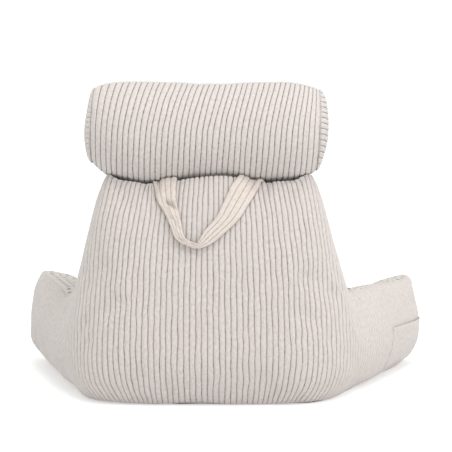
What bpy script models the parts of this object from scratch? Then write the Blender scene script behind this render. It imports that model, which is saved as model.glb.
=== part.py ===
"""Backrest pillow with arms, a neck roll and a carrying handle, in wide-wale corduroy.

It stands as seen from behind: the back panel faces -Y, the arms reach towards +Y, +Z is up.
The filled backrest and its two arms are one sewn cushion, lofted from upright sections that
follow the outer panel round from one arm's front end to the other's. Lengths are in metres.
"""

import math
from collections import namedtuple

import bmesh
import bpy
import numpy as np
from mathutils import Matrix, Vector

# The cloth: ribs of the corduroy, and how far a piece stays off its neighbour
WALE_PITCH = 0.0095
WALE_DEPTH = 0.0020
PIECE_GAP = 0.0005

# The backrest cushion. Each row is one upright section of it, from the left arm's front end to the
# right arm's: where its outer and inner faces stand on the plan, its height, the thickness of its
# crown as a share of its base, how square that crown is, how far its outer face leans in at the
# top, and how far both faces are tucked under at the foot.
Section = namedtuple("Section", "outer_x outer_y inner_x inner_y height crown square lean tuck")
SECTIONS = (
    Section(-0.338, 0.418, -0.223, 0.428, 0.170, 0.78, 4.2, 0.004, 0.019),
    Section(-0.334, 0.362, -0.219, 0.385, 0.171, 0.78, 4.2, 0.004, 0.022),
    Section(-0.313, 0.306, -0.205, 0.343, 0.168, 0.80, 4.2, 0.004, 0.022),
    Section(-0.281, 0.222, -0.172, 0.267, 0.164, 0.82, 4.2, 0.006, 0.020),
    Section(-0.250, 0.137, -0.145, 0.195, 0.166, 0.82, 4.0, 0.008, 0.018),
    Section(-0.235, 0.098, -0.141, 0.183, 0.209, 0.80, 3.8, 0.010, 0.015),
    Section(-0.222, 0.062, -0.137, 0.181, 0.288, 0.75, 3.4, 0.014, 0.012),
    Section(-0.209, 0.034, -0.133, 0.181, 0.350, 0.68, 3.2, 0.016, 0.008),
    Section(-0.191, 0.012, -0.124, 0.183, 0.380, 0.62, 3.2, 0.018, 0.003),
    Section(-0.154, -0.003, -0.108, 0.185, 0.387, 0.60, 3.2, 0.020, 0.000),
    Section(-0.085, -0.010, -0.066, 0.187, 0.386, 0.58, 3.2, 0.020, 0.000),
    Section(0.000, -0.012, 0.000, 0.188, 0.386, 0.58, 3.2, 0.020, 0.000),
    Section(0.085, -0.010, 0.068, 0.187, 0.386, 0.58, 3.2, 0.020, 0.000),
    Section(0.152, -0.003, 0.112, 0.185, 0.387, 0.60, 3.2, 0.020, 0.000),
    Section(0.194, 0.011, 0.129, 0.183, 0.384, 0.62, 3.2, 0.018, 0.002),
    Section(0.216, 0.032, 0.138, 0.182, 0.357, 0.68, 3.2, 0.016, 0.007),
    Section(0.230, 0.060, 0.145, 0.184, 0.290, 0.75, 3.4, 0.014, 0.009),
    Section(0.247, 0.094, 0.152, 0.190, 0.203, 0.80, 3.8, 0.010, 0.012),
    Section(0.268, 0.136, 0.166, 0.205, 0.153, 0.82, 4.0, 0.008, 0.016),
    Section(0.318, 0.222, 0.218, 0.280, 0.145, 0.82, 4.2, 0.006, 0.018),
    Section(0.359, 0.295, 0.252, 0.345, 0.149, 0.80, 4.2, 0.004, 0.020),
    Section(0.387, 0.350, 0.273, 0.384, 0.157, 0.78, 4.2, 0.004, 0.021),
    Section(0.395, 0.415, 0.281, 0.430, 0.160, 0.78, 4.2, 0.004, 0.019),
)
RIBBED_ANGLES = (232.0, 216.0, 201.0, 188.0, 175.0, 160.0, 146.0, 133.0, 120.0)
PLAIN_ANGLES = (103.0, 92.5, 87.5, 77.0, 60.0, 42.0, 20.0, 0.0, -22.0, -42.0, -62.0, -90.0)
PLAIN_STEP = 4
BASE_SQUARENESS = 6.0
BASE_SINK = 0.008
BELLY = 0.009
TUCK_HEIGHT = 0.060
ARM_END_ROUND = 0.040
ARM_END_SQUARENESS = 5.0
ARM_END_FLAT = 0.0015
DRAW_IN = 0.66

# The neck roll. Each row is a place along its tube: its crest radius, and how far it sags.
RollRow = namedtuple("RollRow", "along radius sag")
ROLL_ROWS = (
    RollRow(-0.183, 0.0640, -0.0080),
    RollRow(-0.165, 0.0745, -0.0035),
    RollRow(-0.110, 0.0845, 0.0000),
    RollRow(-0.050, 0.0830, 0.0000),
    RollRow(0.000, 0.0805, 0.0000),
    RollRow(0.055, 0.0815, 0.0000),
    RollRow(0.110, 0.0835, 0.0000),
    RollRow(0.160, 0.0775, -0.0010),
    RollRow(0.183, 0.0680, -0.0040),
)
ROLL_CENTRE = Vector((-0.002, 0.073, 0.4422))
ROLL_CAP_BULGE = 0.018
ROLL_CAP_RINGS = 4
ROLL_SIDES = 20

# The handle, a flat corduroy strap that hangs in a V over the back panel. Each row is a place along
# its middle: across and up the back panel, its width, its thickness and how far it stands off.
StrapRow = namedtuple("StrapRow", "across up width thick off")
HANDLE_ROWS = (
    StrapRow(-0.0670, 0.3660, 0.0390, 0.0050, 0.0000),
    StrapRow(-0.0655, 0.3500, 0.0385, 0.0050, 0.0010),
    StrapRow(-0.0615, 0.3300, 0.0350, 0.0060, 0.0020),
    StrapRow(-0.0572, 0.3127, 0.0294, 0.0070, 0.0020),
    StrapRow(-0.0505, 0.2930, 0.0220, 0.0085, 0.0015),
    StrapRow(-0.0428, 0.2762, 0.0165, 0.0095, 0.0010),
    StrapRow(-0.0310, 0.2660, 0.0140, 0.0095, 0.0010),
    StrapRow(-0.0175, 0.2610, 0.0130, 0.0090, 0.0010),
    StrapRow(-0.0045, 0.2660, 0.0150, 0.0085, 0.0010),
    StrapRow(0.0100, 0.2785, 0.0240, 0.0070, 0.0015),
    StrapRow(0.0235, 0.2930, 0.0300, 0.0060, 0.0020),
    StrapRow(0.0360, 0.3115, 0.0345, 0.0055, 0.0025),
    StrapRow(0.0500, 0.3335, 0.0380, 0.0050, 0.0015),
    StrapRow(0.0655, 0.3580, 0.0400, 0.0050, 0.0000),
)
HANDLE_RIBS = 4
HANDLE_RIB_DEPTH = 0.0012
HANDLE_STEPS = 34

# The side pocket, a patch sewn low on the right arm's outer face
POCKET_START = 0.185
POCKET_END = 0.030
POCKET_LOW = 0.018
POCKET_HEM = 0.080
POCKET_HEM_RISE = 0.008
POCKET_THICK = 0.0025
POCKET_STAND_OFF = 0.0009
POCKET_COLUMNS = 22
POCKET_ROWS = 8

# Finishes: colour, roughness
CORDUROY = ((0.72, 0.66, 0.61), 0.92)
STRAP_CORDUROY = ((0.77, 0.70, 0.63), 0.92)


def smooth_through(knots, values, at):
    """A smooth curve through the rows of values, read at the given places."""
    slopes = np.gradient(values, knots, axis=0)
    low = np.clip(np.searchsorted(knots, at) - 1, 0, len(knots) - 2)
    span = (knots[low + 1] - knots[low])[:, None]
    t = (at - knots[low])[:, None] / span
    start, end = values[low], values[low + 1]
    start_slope, end_slope = slopes[low] * span, slopes[low + 1] * span
    return (
        (2 * t**3 - 3 * t**2 + 1) * start
        + (t**3 - 2 * t**2 + t) * start_slope
        + (3 * t**2 - 2 * t**3) * end
        + (t**3 - t**2) * end_slope
    )


def running_length(points):
    """Length along a line of points, from its first one."""
    steps = np.linalg.norm(np.diff(points, axis=0), axis=1)
    return np.concatenate([[0.0], np.cumsum(steps)])


def outer_panel():
    """The cushion's sections as a smooth run: length along the outer panel, and the table's columns."""
    table = np.array(SECTIONS)
    knots = running_length(table[:, :2])
    dense = smooth_through(knots, table, np.linspace(0.0, knots[-1], 3000))
    return running_length(dense[:, :2]), dense


PANEL_LENGTH, PANEL_ROWS = outer_panel()
PANEL_CENTRE = float(np.interp(0.0, PANEL_ROWS[:, 0], PANEL_LENGTH))


def panel_at(length):
    """The table's columns at places along the outer panel."""
    return np.stack([np.interp(length, PANEL_LENGTH, c) for c in PANEL_ROWS.T], axis=-1)


def roll_shape(along):
    """Crest radius and sag of the neck roll at places along it; the radius is zero past its caps."""
    rows = np.array(ROLL_ROWS)
    radius, sag = smooth_through(rows[:, 0], rows[:, 1:], np.clip(along, rows[0, 0], rows[-1, 0])).T
    past = np.clip((np.abs(along) - rows[-1, 0]) / ROLL_CAP_BULGE, 0.0, 1.0)
    return radius * np.sqrt(1.0 - past**2), sag


def clear_of_roll(points):
    """Dents the cushion's top where the neck roll lies on it."""
    flat = points.reshape(-1, 3)
    radius, sag = roll_shape(flat[:, 0] - ROLL_CENTRE.x)
    axis = np.stack([np.full_like(sag, ROLL_CENTRE.y), ROLL_CENTRE.z - sag], axis=-1)
    away = flat[:, 1:] - axis
    distance = np.linalg.norm(away, axis=-1)
    wanted = np.where(radius > 0.0, radius + 1.6 * PIECE_GAP, 0.0)
    cleared = flat.copy()
    cleared[:, 1:] = axis + away * np.maximum(wanted / distance, 1.0)[:, None]
    return cleared.reshape(points.shape)


def squared(value, power):
    """A cosine or sine pulled towards a rounded square's."""
    return np.sign(value) * np.abs(value) ** (2.0 / power)


def cushion_skin(length, angle, ribbed):
    """Points of the cushion's skin.

    length is along the outer panel, angle goes round each upright section: 0 faces into the seat,
    90 degrees is up and 180 is the outer face. ribbed is 1 at a groove between two wales, else 0.
    """
    row = panel_at(length)
    outer, inner = row[..., 0:2], row[..., 2:4]
    height, crown, square, lean, tuck = (row[..., k] for k in range(4, 9))
    cos, sin = np.cos(angle), np.sin(angle)
    power = np.where(sin > 0.0, square, BASE_SQUARENESS)
    half_height = 0.5 * (height + BASE_SINK)
    up = 0.5 * (height - BASE_SINK) + half_height * squared(sin, power)
    share = np.clip(up / height, 0.0, 1.0)
    thick = np.linalg.norm(inner - outer, axis=-1)
    tucked = tuck * (1.0 - np.clip(up / TUCK_HEIGHT, 0.0, 1.0)) ** 2
    face_out = tucked + lean * share - BELLY * np.sin(math.pi * share**0.75)
    face_in = thick * (1.0 - (1.0 - crown) * share**1.2) + BELLY * np.sin(math.pi * share) - tucked
    middle, half = 0.5 * (face_in + face_out), 0.5 * (face_in - face_out)

    end = np.minimum(length, PANEL_LENGTH[-1] - length)
    near = np.clip(end / ARM_END_ROUND, 0.0, 1.0)
    shrink = (1.0 - (1.0 - near) ** ARM_END_SQUARENESS) ** (1.0 / ARM_END_SQUARENESS)
    depth = middle + half * shrink * squared(cos, power)
    end_height = 0.44 * height
    up = end_height + (up - end_height) * shrink

    outward = np.clip((-cos - 0.10) / 0.25, 0.0, 1.0)
    inset = WALE_DEPTH * ribbed * outward
    steepness = 2.0 - 2.0 / power
    normal_across = np.sign(cos) * np.abs(cos) ** steepness / half
    normal_up = np.sign(sin) * np.abs(sin) ** steepness / half_height
    size = np.hypot(normal_across, normal_up)
    depth = depth - inset * shrink * normal_across / size
    up = np.maximum(up - inset * shrink * normal_up / size, 0.0)

    direction = (inner - outer) / thick[..., None]
    plan = outer + direction * depth[..., None]
    narrowed = plan[..., 0] * (1.0 - DRAW_IN * up**2)
    points = np.stack([narrowed, plan[..., 1], up], axis=-1)
    return clear_of_roll(points)


def back_face(across, up):
    """How far back the crests of the back panel stand at a place across and up it."""
    lengths = PANEL_CENTRE + np.linspace(-0.16, 0.16, 65)
    angles = np.radians(np.linspace(124.0, 200.0, 77))
    grid_length, grid_angle = np.meshgrid(lengths, angles, indexing="ij")
    skin = cushion_skin(grid_length, grid_angle, 0.0)
    miss = (skin[..., 0] - across) ** 2 + (skin[..., 2] - up) ** 2
    return float(skin[np.unravel_index(np.argmin(miss), miss.shape)][1])


def new_object(name, mesh, finish):
    """An object in the pillow's collection, with its cloth."""
    colour, roughness = finish
    material = bpy.data.materials.new(name + "_cloth")
    material.use_nodes = True
    shader = material.node_tree.nodes["Principled BSDF"]
    shader.inputs["Base Color"].default_value = (*colour, 1.0)
    shader.inputs["Roughness"].default_value = roughness
    shader.inputs["Metallic"].default_value = 0.0
    mesh.materials.append(material)
    mesh.shade_smooth()
    mesh.set_sharp_from_angle(angle=math.radians(50.0))
    made = bpy.data.objects.new(name, mesh)
    bpy.data.collections["backrest_pillow"].objects.link(made)
    return made


def loft(name, rings, finish):
    """A closed solid through a run of unlike sections, each ring a front row and a back row."""
    bm = bmesh.new()
    rows = [[bm.verts.new(point) for point in ring] for ring in rings]
    count = len(rows[0])
    for here, there in zip(rows, rows[1:]):
        for k in range(count):
            n = (k + 1) % count
            bm.faces.new((here[k], here[n], there[n], there[k]))
    for row in (rows[0], rows[-1]):
        for k in range(count // 2 - 1):
            bm.faces.new((row[k], row[k + 1], row[count - 2 - k], row[count - 1 - k]))
    bmesh.ops.triangulate(bm, faces=bm.faces[:])
    bmesh.ops.recalc_face_normals(bm, faces=bm.faces[:])
    mesh = bpy.data.meshes.new(name)
    bm.to_mesh(mesh)
    bm.free()
    return new_object(name, mesh, finish)


def make_backrest():
    """The filled backrest with its two arms, ribbed wherever the outer panel covers it.

    Every column of the skin has the ribbed points of the outer panel. Only every fourth one goes
    on over the top, down the inner face and under the base.
    """
    covered = PANEL_LENGTH[-1] - 2.0 * ARM_END_FLAT
    steps = PLAIN_STEP * round(covered / (PLAIN_STEP * WALE_PITCH / 2.0))
    lengths = ARM_END_FLAT + covered * np.arange(steps + 1) / steps
    groove = (np.arange(steps + 1) % 2 == 1).astype(float)[:, None]
    ribbed_angles, plain_angles = np.radians(RIBBED_ANGLES), np.radians(PLAIN_ANGLES)
    ribbed = cushion_skin(*np.meshgrid(lengths, ribbed_angles, indexing="ij"), groove)
    plain = cushion_skin(*np.meshgrid(lengths[::PLAIN_STEP], plain_angles, indexing="ij"), 0.0)

    bm = bmesh.new()
    fine = [[bm.verts.new(point) for point in column] for column in ribbed]
    coarse = [[bm.verts.new(point) for point in column] for column in plain]
    for here, there in zip(fine, fine[1:]):
        for k in range(len(RIBBED_ANGLES) - 1):
            bm.faces.new((here[k], here[k + 1], there[k + 1], there[k]))
    for number, (here, there) in enumerate(zip(coarse, coarse[1:])):
        for k in range(len(PLAIN_ANGLES) - 1):
            bm.faces.new((here[k], here[k + 1], there[k + 1], there[k]))
        edges = fine[number * PLAIN_STEP : number * PLAIN_STEP + PLAIN_STEP + 1]
        for at_ribs, at_plain in ((-1, 0), (0, -1)):
            a, b, c, d, e = (column[at_ribs] for column in edges)
            left, right = here[at_plain], there[at_plain]
            for corners in ((left, a, b), (left, b, c), (left, c, right), (right, c, d), (right, d, e)):
                bm.faces.new(corners)
    bm.faces.new(fine[0] + coarse[0])
    bm.faces.new(fine[-1] + coarse[-1])
    bmesh.ops.triangulate(bm, faces=bm.faces[:])
    bmesh.ops.recalc_face_normals(bm, faces=bm.faces[:])
    mesh = bpy.data.meshes.new("backrest")
    bm.to_mesh(mesh)
    bm.free()
    return new_object("backrest", mesh, CORDUROY)


def roll_profile():
    """Half outline of the neck roll, along its axis and out to its skin."""
    half_tube = ROLL_ROWS[-1].along
    wales = 2 * int(half_tube / WALE_PITCH)
    along = (np.arange(2 * wales + 1) - wales) * WALE_PITCH / 2.0
    groove = WALE_DEPTH * (np.arange(len(along)) % 2 == 0)
    tube = np.stack([along, roll_shape(along)[0] - groove], axis=-1)
    turns = np.linspace(0.0, math.pi / 2.0, ROLL_CAP_RINGS + 1)[1:]
    rim_radius = tube[-1, 1]
    past = along[-1] + (half_tube + ROLL_CAP_BULGE - along[-1]) * np.sin(turns)
    cap = np.stack([past, rim_radius * np.cos(turns)], axis=-1)
    cap[-1, 1] = 0.0
    other_cap = cap[::-1] * (-1.0, 1.0)
    return np.concatenate([other_cap, tube, cap])


def make_neck_roll():
    """The neck roll: its ribbed outline turned about its axis, then sagging a little."""
    bm = bmesh.new()
    line = [bm.verts.new((radius, 0.0, along)) for along, radius in roll_profile()[::-1]]
    for here, there in zip(line, line[1:]):
        bm.edges.new((here, there))
    profile = bpy.data.meshes.new("neck_roll_profile")
    bm.to_mesh(profile)
    bm.free()
    turned = bpy.data.objects.new("neck_roll_turned", profile)
    bpy.data.collections["backrest_pillow"].objects.link(turned)
    screw = turned.modifiers.new("turn", "SCREW")
    screw.axis = "Z"
    screw.steps = ROLL_SIDES
    screw.render_steps = ROLL_SIDES
    screw.use_merge_vertices = True
    screw.merge_threshold = 0.00005
    graph = bpy.context.evaluated_depsgraph_get()
    mesh = bpy.data.meshes.new_from_object(turned.evaluated_get(graph))
    bpy.data.objects.remove(turned)
    mesh.transform(Matrix.Rotation(math.radians(90.0), 4, "Y"))
    for vert in mesh.vertices:
        vert.co.z -= roll_shape(np.array([vert.co.x]))[1][0]
    mesh.transform(Matrix.Translation(ROLL_CENTRE))
    bm = bmesh.new()
    bm.from_mesh(mesh)
    bmesh.ops.remove_doubles(bm, verts=bm.verts[:], dist=0.00005)
    bmesh.ops.recalc_face_normals(bm, faces=bm.faces[:])
    bm.to_mesh(mesh)
    bm.free()
    return new_object("neck_roll", mesh, CORDUROY)


def make_handle():
    """The handle strap, four wales wide, folded narrow at the foot of its V."""
    table = np.array(HANDLE_ROWS)
    knots = running_length(table[:, :2])
    run = smooth_through(knots, table, np.linspace(0.0, knots[-1], HANDLE_STEPS))
    ahead = np.gradient(run[:, :2], axis=0)
    ahead /= np.linalg.norm(ahead, axis=1)[:, None]
    side = np.stack([-ahead[:, 1], ahead[:, 0]], axis=-1)
    places = np.linspace(-0.5, 0.5, 2 * HANDLE_RIBS + 1)
    rings = []
    for (across, up, width, thick, off), (side_x, side_z) in zip(run, side):
        front, back = [], []
        for number, place in enumerate(places):
            x, z = across + side_x * width * place, up + side_z * width * place
            groove = HANDLE_RIB_DEPTH * (number % 2 == 0)
            rounding = 0.35 * thick * (abs(place) == 0.5)
            near_side = back_face(x, z) - PIECE_GAP - off
            back.append((x, near_side, z))
            front.append((x, near_side - thick + groove + rounding, z))
        rings.append(front + back[::-1])
    return loft("handle", rings, STRAP_CORDUROY)


def outer_angle_at(length, wanted_up):
    """The angle at which the outer face of a section stands at a height."""
    angles = np.radians(np.linspace(262.0, 120.0, 200))
    ups = cushion_skin(np.full_like(angles, length), angles, 0.0)[:, 2]
    return float(np.interp(wanted_up, ups, angles))


def make_side_pocket():
    """The patch pocket on the right arm, a sheet that follows the arm's outer face."""
    panel_end = PANEL_LENGTH[-1]
    lengths = np.linspace(panel_end - POCKET_START, panel_end - POCKET_END, POCKET_COLUMNS)
    rings = []
    for number, length in enumerate(lengths):
        hem = POCKET_HEM + POCKET_HEM_RISE * (1.0 - number / (POCKET_COLUMNS - 1))
        inner_face, outer_face = [], []
        for up in np.linspace(POCKET_LOW, hem, POCKET_ROWS):
            angle = outer_angle_at(length, up)
            near = cushion_skin(
                np.array([length - 0.004, length, length + 0.004, length]),
                np.array([angle, angle, angle, angle - 0.05]),
                0.0,
            )
            normal = np.cross(near[2] - near[0], near[3] - near[1])
            normal /= np.linalg.norm(normal)
            if normal[0] < 0.0:
                normal = -normal
            inner_face.append(near[1] + normal * POCKET_STAND_OFF)
            outer_face.append(near[1] + normal * (POCKET_STAND_OFF + POCKET_THICK))
        rings.append(inner_face + outer_face[::-1])
    return loft("side_pocket", rings, CORDUROY)


def stand_on_origin(parts):
    """Moves the pillow so that its box stands on the origin, middle over it."""
    points = np.array([vert.co for part in parts for vert in part.data.vertices])
    low, high = points.min(axis=0), points.max(axis=0)
    shift = Vector((-(low[0] + high[0]) / 2.0, -(low[1] + high[1]) / 2.0, -low[2]))
    for part in parts:
        part.data.transform(Matrix.Translation(shift))


def main():
    """Clears the scene and builds the pillow."""
    for thing in list(bpy.data.objects):
        bpy.data.objects.remove(thing, do_unlink=True)
    collection = bpy.data.collections.new("backrest_pillow")
    bpy.context.scene.collection.children.link(collection)
    stand_on_origin([make_backrest(), make_neck_roll(), make_handle(), make_side_pocket()])


main()
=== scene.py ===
"""Backrest pillow with arms, a neck roll and a carrying handle: its cloth, seams and looks.

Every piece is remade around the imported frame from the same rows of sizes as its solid: a filled
cushion in wide-wale plush corduroy and dimpled plush, a neck roll, a corduroy strap and a pocket.
It stands as seen from behind: the back panel faces -Y and the arms reach towards +Y. Lengths are in
metres and the rows of sizes in the model's own frame, which one shift on the plan moves to the
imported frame.
"""

import logging
import math
from collections.abc import Callable
from dataclasses import astuple, dataclass
from enum import Enum
from functools import partial

import bmesh
import bpy
import numpy as np
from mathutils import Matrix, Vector
from mathutils.kdtree import KDTree

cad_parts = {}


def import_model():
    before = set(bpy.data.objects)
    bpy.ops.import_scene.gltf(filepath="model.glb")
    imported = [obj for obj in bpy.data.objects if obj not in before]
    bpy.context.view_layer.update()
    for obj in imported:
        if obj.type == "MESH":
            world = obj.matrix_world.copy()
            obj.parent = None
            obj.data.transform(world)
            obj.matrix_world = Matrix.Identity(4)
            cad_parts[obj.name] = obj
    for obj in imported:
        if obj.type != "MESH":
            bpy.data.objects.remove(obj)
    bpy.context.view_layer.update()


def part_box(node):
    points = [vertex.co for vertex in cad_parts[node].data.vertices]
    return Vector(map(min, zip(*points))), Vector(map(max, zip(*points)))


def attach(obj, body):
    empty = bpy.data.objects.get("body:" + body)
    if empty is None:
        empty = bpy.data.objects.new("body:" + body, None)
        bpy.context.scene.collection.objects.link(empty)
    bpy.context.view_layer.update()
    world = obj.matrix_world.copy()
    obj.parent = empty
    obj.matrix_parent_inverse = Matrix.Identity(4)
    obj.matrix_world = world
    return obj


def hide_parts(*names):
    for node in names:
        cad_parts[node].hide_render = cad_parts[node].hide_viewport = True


LOG = logging.getLogger("backrest_pillow")
SEED = 41
UV_NAME = "cloth"
CLOSED_NAME = "closed_pile"

# How far a piece stays off its neighbour, and how near two points of a piece count as one
PIECE_GAP = 0.0005
ROLL_GAP = 1.6 * PIECE_GAP
WELD = 0.00002
# A cushion's skin is drawn this much inside its form before the filling swells it
START_SMALLER = -0.002

FULL_TURN = 2 * math.pi
TINY = 1e-9
Pair = tuple[float, float]
Triple = tuple[float, float, float]

# Places across one wale where its skin is drawn, as shares of its pitch from one groove's middle
WALE_PLACES = (0.0, 0.075, 0.18, 0.36, 0.64, 0.82, 0.925)


class Cloth(Enum):
    """The cloths that a patch of skin can have, in the order of their material slots."""

    RIBBED = 0
    DIMPLED = 1


class Chart(Enum):
    """The charts that the backrest's faces can take, in the order that they are stacked."""

    RIBBED = 0
    SEAT_BACK = 1
    ARM_INSIDE = 2
    END_FACE = 3


# Small tools


def hex_colour(code: str) -> tuple[float, float, float, float]:
    """Turns an sRGB hex colour into a linear one.

    Args:
        code: Six hex digits.

    Returns:
        Red, green, blue and an alpha of one, linear.
    """
    shares = [int(code[k : k + 2], 16) / 255.0 for k in (0, 2, 4)]
    linear = [c / 12.92 if c <= 0.04045 else ((c + 0.055) / 1.055) ** 2.4 for c in shares]
    return (*linear, 1.0)


def add_node(
    tree: bpy.types.NodeTree,
    kind: str,
    inputs: dict[str | int, object],
    output: str | int = 0,
    **settings: object,
) -> bpy.types.NodeSocket:
    """Adds a shader node with its settings and links.

    Args:
        tree: The node tree that it joins.
        kind: Its Blender type name, without ShaderNode.
        inputs: Its input sockets, by name or number, and a value or the socket that feeds each.
        output: The name or number of the output that is wanted.
        settings: The node's own properties and their values.

    Returns:
        That output.
    """
    node = tree.nodes.new("ShaderNode" + kind)
    for name, value in settings.items():
        setattr(node, name, value)
    for key, value in inputs.items():
        if isinstance(value, bpy.types.NodeSocket):
            tree.links.new(value, node.inputs[key])
        else:
            node.inputs[key].default_value = value
    return node.outputs[output]


def smooth_through(knots: np.ndarray, values: np.ndarray, at: np.ndarray) -> np.ndarray:
    """Reads a smooth curve through rows of values.

    Args:
        knots: Where each row stands, rising.
        values: The rows.
        at: The places to read.

    Returns:
        A row of values for each place.
    """
    slopes = np.gradient(values, knots, axis=0)
    low = np.clip(np.searchsorted(knots, at) - 1, 0, len(knots) - 2)
    span = (knots[low + 1] - knots[low])[:, None]
    t = (at - knots[low])[:, None] / span
    start, end = values[low], values[low + 1]
    start_slope, end_slope = slopes[low] * span, slopes[low + 1] * span
    return (
        (2 * t**3 - 3 * t**2 + 1) * start
        + (t**3 - 2 * t**2 + t) * start_slope
        + (3 * t**2 - 2 * t**3) * end
        + (t**3 - t**2) * end_slope
    )


def running_length(points: np.ndarray) -> np.ndarray:
    """Measures the length along a line of points, from its first one."""
    steps = np.linalg.norm(np.diff(points, axis=0), axis=-1)
    return np.concatenate([np.zeros_like(steps[:1]), np.cumsum(steps, axis=0)])


def unit(value: np.ndarray) -> np.ndarray:
    """Keeps values within 0 and 1."""
    return np.clip(value, 0.0, 1.0)


def ramp(value: np.ndarray, start: float, end: float) -> np.ndarray:
    """Rises smoothly from 0 at start to 1 at end."""
    t = unit((value - start) / (end - start))
    return t * t * (3.0 - 2.0 * t)


def hump(value: np.ndarray, middle: float, width: float) -> np.ndarray:
    """Stands at 1 in the middle and falls off to nothing about two widths away."""
    return np.exp(-(((value - middle) / width) ** 2))


def squared(value: np.ndarray, power: np.ndarray) -> np.ndarray:
    """Pulls a cosine or sine towards a rounded square's."""
    return np.sign(value) * np.abs(value) ** (2.0 / power)


def bulged_end(near: np.ndarray, squareness: float) -> np.ndarray:
    """Gives a section's size near an end, as a share; near is 0 at the tip and 1 clear of it."""
    return (1.0 - (1.0 - unit(near)) ** squareness) ** (1.0 / squareness)


class Lattice:
    """Values on a grid of rows and columns, read smoothly at any place between them."""

    def __init__(self, values: np.ndarray, rows_close: bool = False) -> None:
        """Keeps the values, shaped (rows, columns, parts), whose rows may close to a ring."""
        self.values = values
        self.rows_close = rows_close

    @staticmethod
    def weights(t: np.ndarray) -> list[np.ndarray]:
        """Gives the four weights of a smooth curve through four neighbours."""
        return [
            0.5 * (-(t**3) + 2 * t**2 - t),
            0.5 * (3 * t**3 - 5 * t**2 + 2),
            0.5 * (-3 * t**3 + 4 * t**2 + t),
            0.5 * (t**3 - t**2),
        ]

    def read(self, row: np.ndarray, column: np.ndarray) -> np.ndarray:
        """Reads the lattice.

        Args:
            row: Places in row numbers.
            column: Places in column numbers.

        Returns:
            The values there, with the parts last.
        """
        rows, columns = self.values.shape[:2]
        row_low = np.floor(row).astype(int)
        if not self.rows_close:
            row_low = np.clip(row_low, 0, rows - 2)
        column_low = np.clip(np.floor(column), 0, columns - 2).astype(int)
        found = 0.0
        for i, row_weight in enumerate(self.weights(row - row_low)):
            at_row = row_low + i - 1
            at_row = at_row % rows if self.rows_close else np.clip(at_row, 0, rows - 1)
            for j, column_weight in enumerate(self.weights(column - column_low)):
                at_column = np.clip(column_low + j - 1, 0, columns - 1)
                found = found + (row_weight * column_weight)[..., None] * self.values[at_row, at_column]
        return found

    def spread(self, row_share: np.ndarray, column_share: np.ndarray) -> np.ndarray:
        """Reads the first part, with the lattice spread over shares from 0 to 1."""
        rows, columns = self.values.shape[:2]
        last = rows if self.rows_close else rows - 1
        return self.read(row_share * last, column_share * (columns - 1))[..., 0]


def soft_noise(rng: np.random.Generator, rows: int, columns: int, rows_close: bool = False) -> Lattice:
    """Makes a lattice of smooth noise, about -1 to 1."""
    return Lattice(rng.uniform(-1.0, 1.0, (rows, columns, 1)), rows_close)


def wale_relief(wales: np.ndarray) -> np.ndarray:
    """Gives the height of ribbed cloth across its wales, 0 on a rib's crest and -1 in a groove's foot.

    Args:
        wales: Places across the cloth in wales, whole numbers being grooves.

    Returns:
        The relief there: a broad, rounded rib and a narrow groove.
    """
    roundness, fullness = 2.6, 0.6
    aside = 1.0 - 2.0 * np.abs(wales - np.round(wales))
    return (1.0 - unit(aside) ** roundness) ** fullness - 1.0


def wale_places(wales: int) -> np.ndarray:
    """Gives the places, in wales, where a cloth of so many wales is drawn."""
    return np.append((np.arange(wales)[:, None] + np.array(WALE_PLACES)).ravel(), float(wales))


def grid_skin(
    bm: bmesh.types.BMesh,
    points: np.ndarray,
    chart: np.ndarray,
    cloth: np.ndarray,
    closed: np.ndarray | None = None,
    chart_of_face: np.ndarray | None = None,
) -> None:
    """Adds a patch of skin to a mesh: a grid shaped to its points, with its chart and its cloths.

    Args:
        bm: The mesh that the patch joins.
        points: The skin's places, shaped (rows, columns, 3).
        chart: The UV chart at each point, shaped (rows, columns, 2), or a stack of such charts.
        cloth: The cloth number of each face, shaped (rows - 1, columns - 1).
        closed: How far the pile closes over the grooves at each point, 0 to 1, kept as an attribute; it
            takes away the grooves' tint, their ground cloth and painted shade.
        chart_of_face: Which chart of a stack each face takes, in the shape of cloth.
    """
    rows, columns = points.shape[:2]
    patch = bmesh.new()
    bmesh.ops.create_grid(patch, x_segments=columns - 1, y_segments=rows - 1, size=1.0)
    mesh = bpy.data.meshes.new("patch")
    patch.to_mesh(mesh)
    patch.free()
    mesh.vertices.foreach_set("co", points.reshape(-1).astype(np.float32))
    corners = np.empty(len(mesh.loops), dtype=np.int32)
    mesh.loops.foreach_get("vertex_index", corners)
    first_corner = np.empty(len(mesh.polygons), dtype=np.int32)
    mesh.polygons.foreach_get("loop_start", first_corner)
    low = np.minimum.reduce([corners[first_corner + k] for k in range(4)])
    cloth_of_face = cloth[low // columns, low % columns]
    mesh.polygons.foreach_set("material_index", cloth_of_face.astype(np.int32))
    choice = np.zeros_like(cloth) if chart_of_face is None else chart_of_face
    choice_of_corner = np.repeat(choice[low // columns, low % columns], 4)
    uv = chart.reshape(-1, rows * columns, 2)[choice_of_corner, corners]
    layer = mesh.uv_layers.new(name=UV_NAME)
    layer.data.foreach_set("uv", uv.reshape(-1).astype(np.float32))
    if closed is not None:
        tint = mesh.attributes.new(CLOSED_NAME, "FLOAT", "POINT")
        tint.data.foreach_set("value", unit(closed).reshape(-1).astype(np.float32))
    bm.from_mesh(mesh)
    bpy.data.meshes.remove(mesh)


def show(name: str, data: bpy.types.ID) -> bpy.types.Object:
    """Makes an object of a mesh, light or camera and links it to the scene."""
    shown = bpy.data.objects.new(name, data)
    bpy.context.scene.collection.objects.link(shown)
    return shown


def mesh_from(name: str, bm: bmesh.types.BMesh) -> bpy.types.Mesh:
    """Makes a named mesh and frees the bmesh that it came from."""
    mesh = bpy.data.meshes.new(name)
    bm.to_mesh(mesh)
    bm.free()
    return mesh


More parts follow.
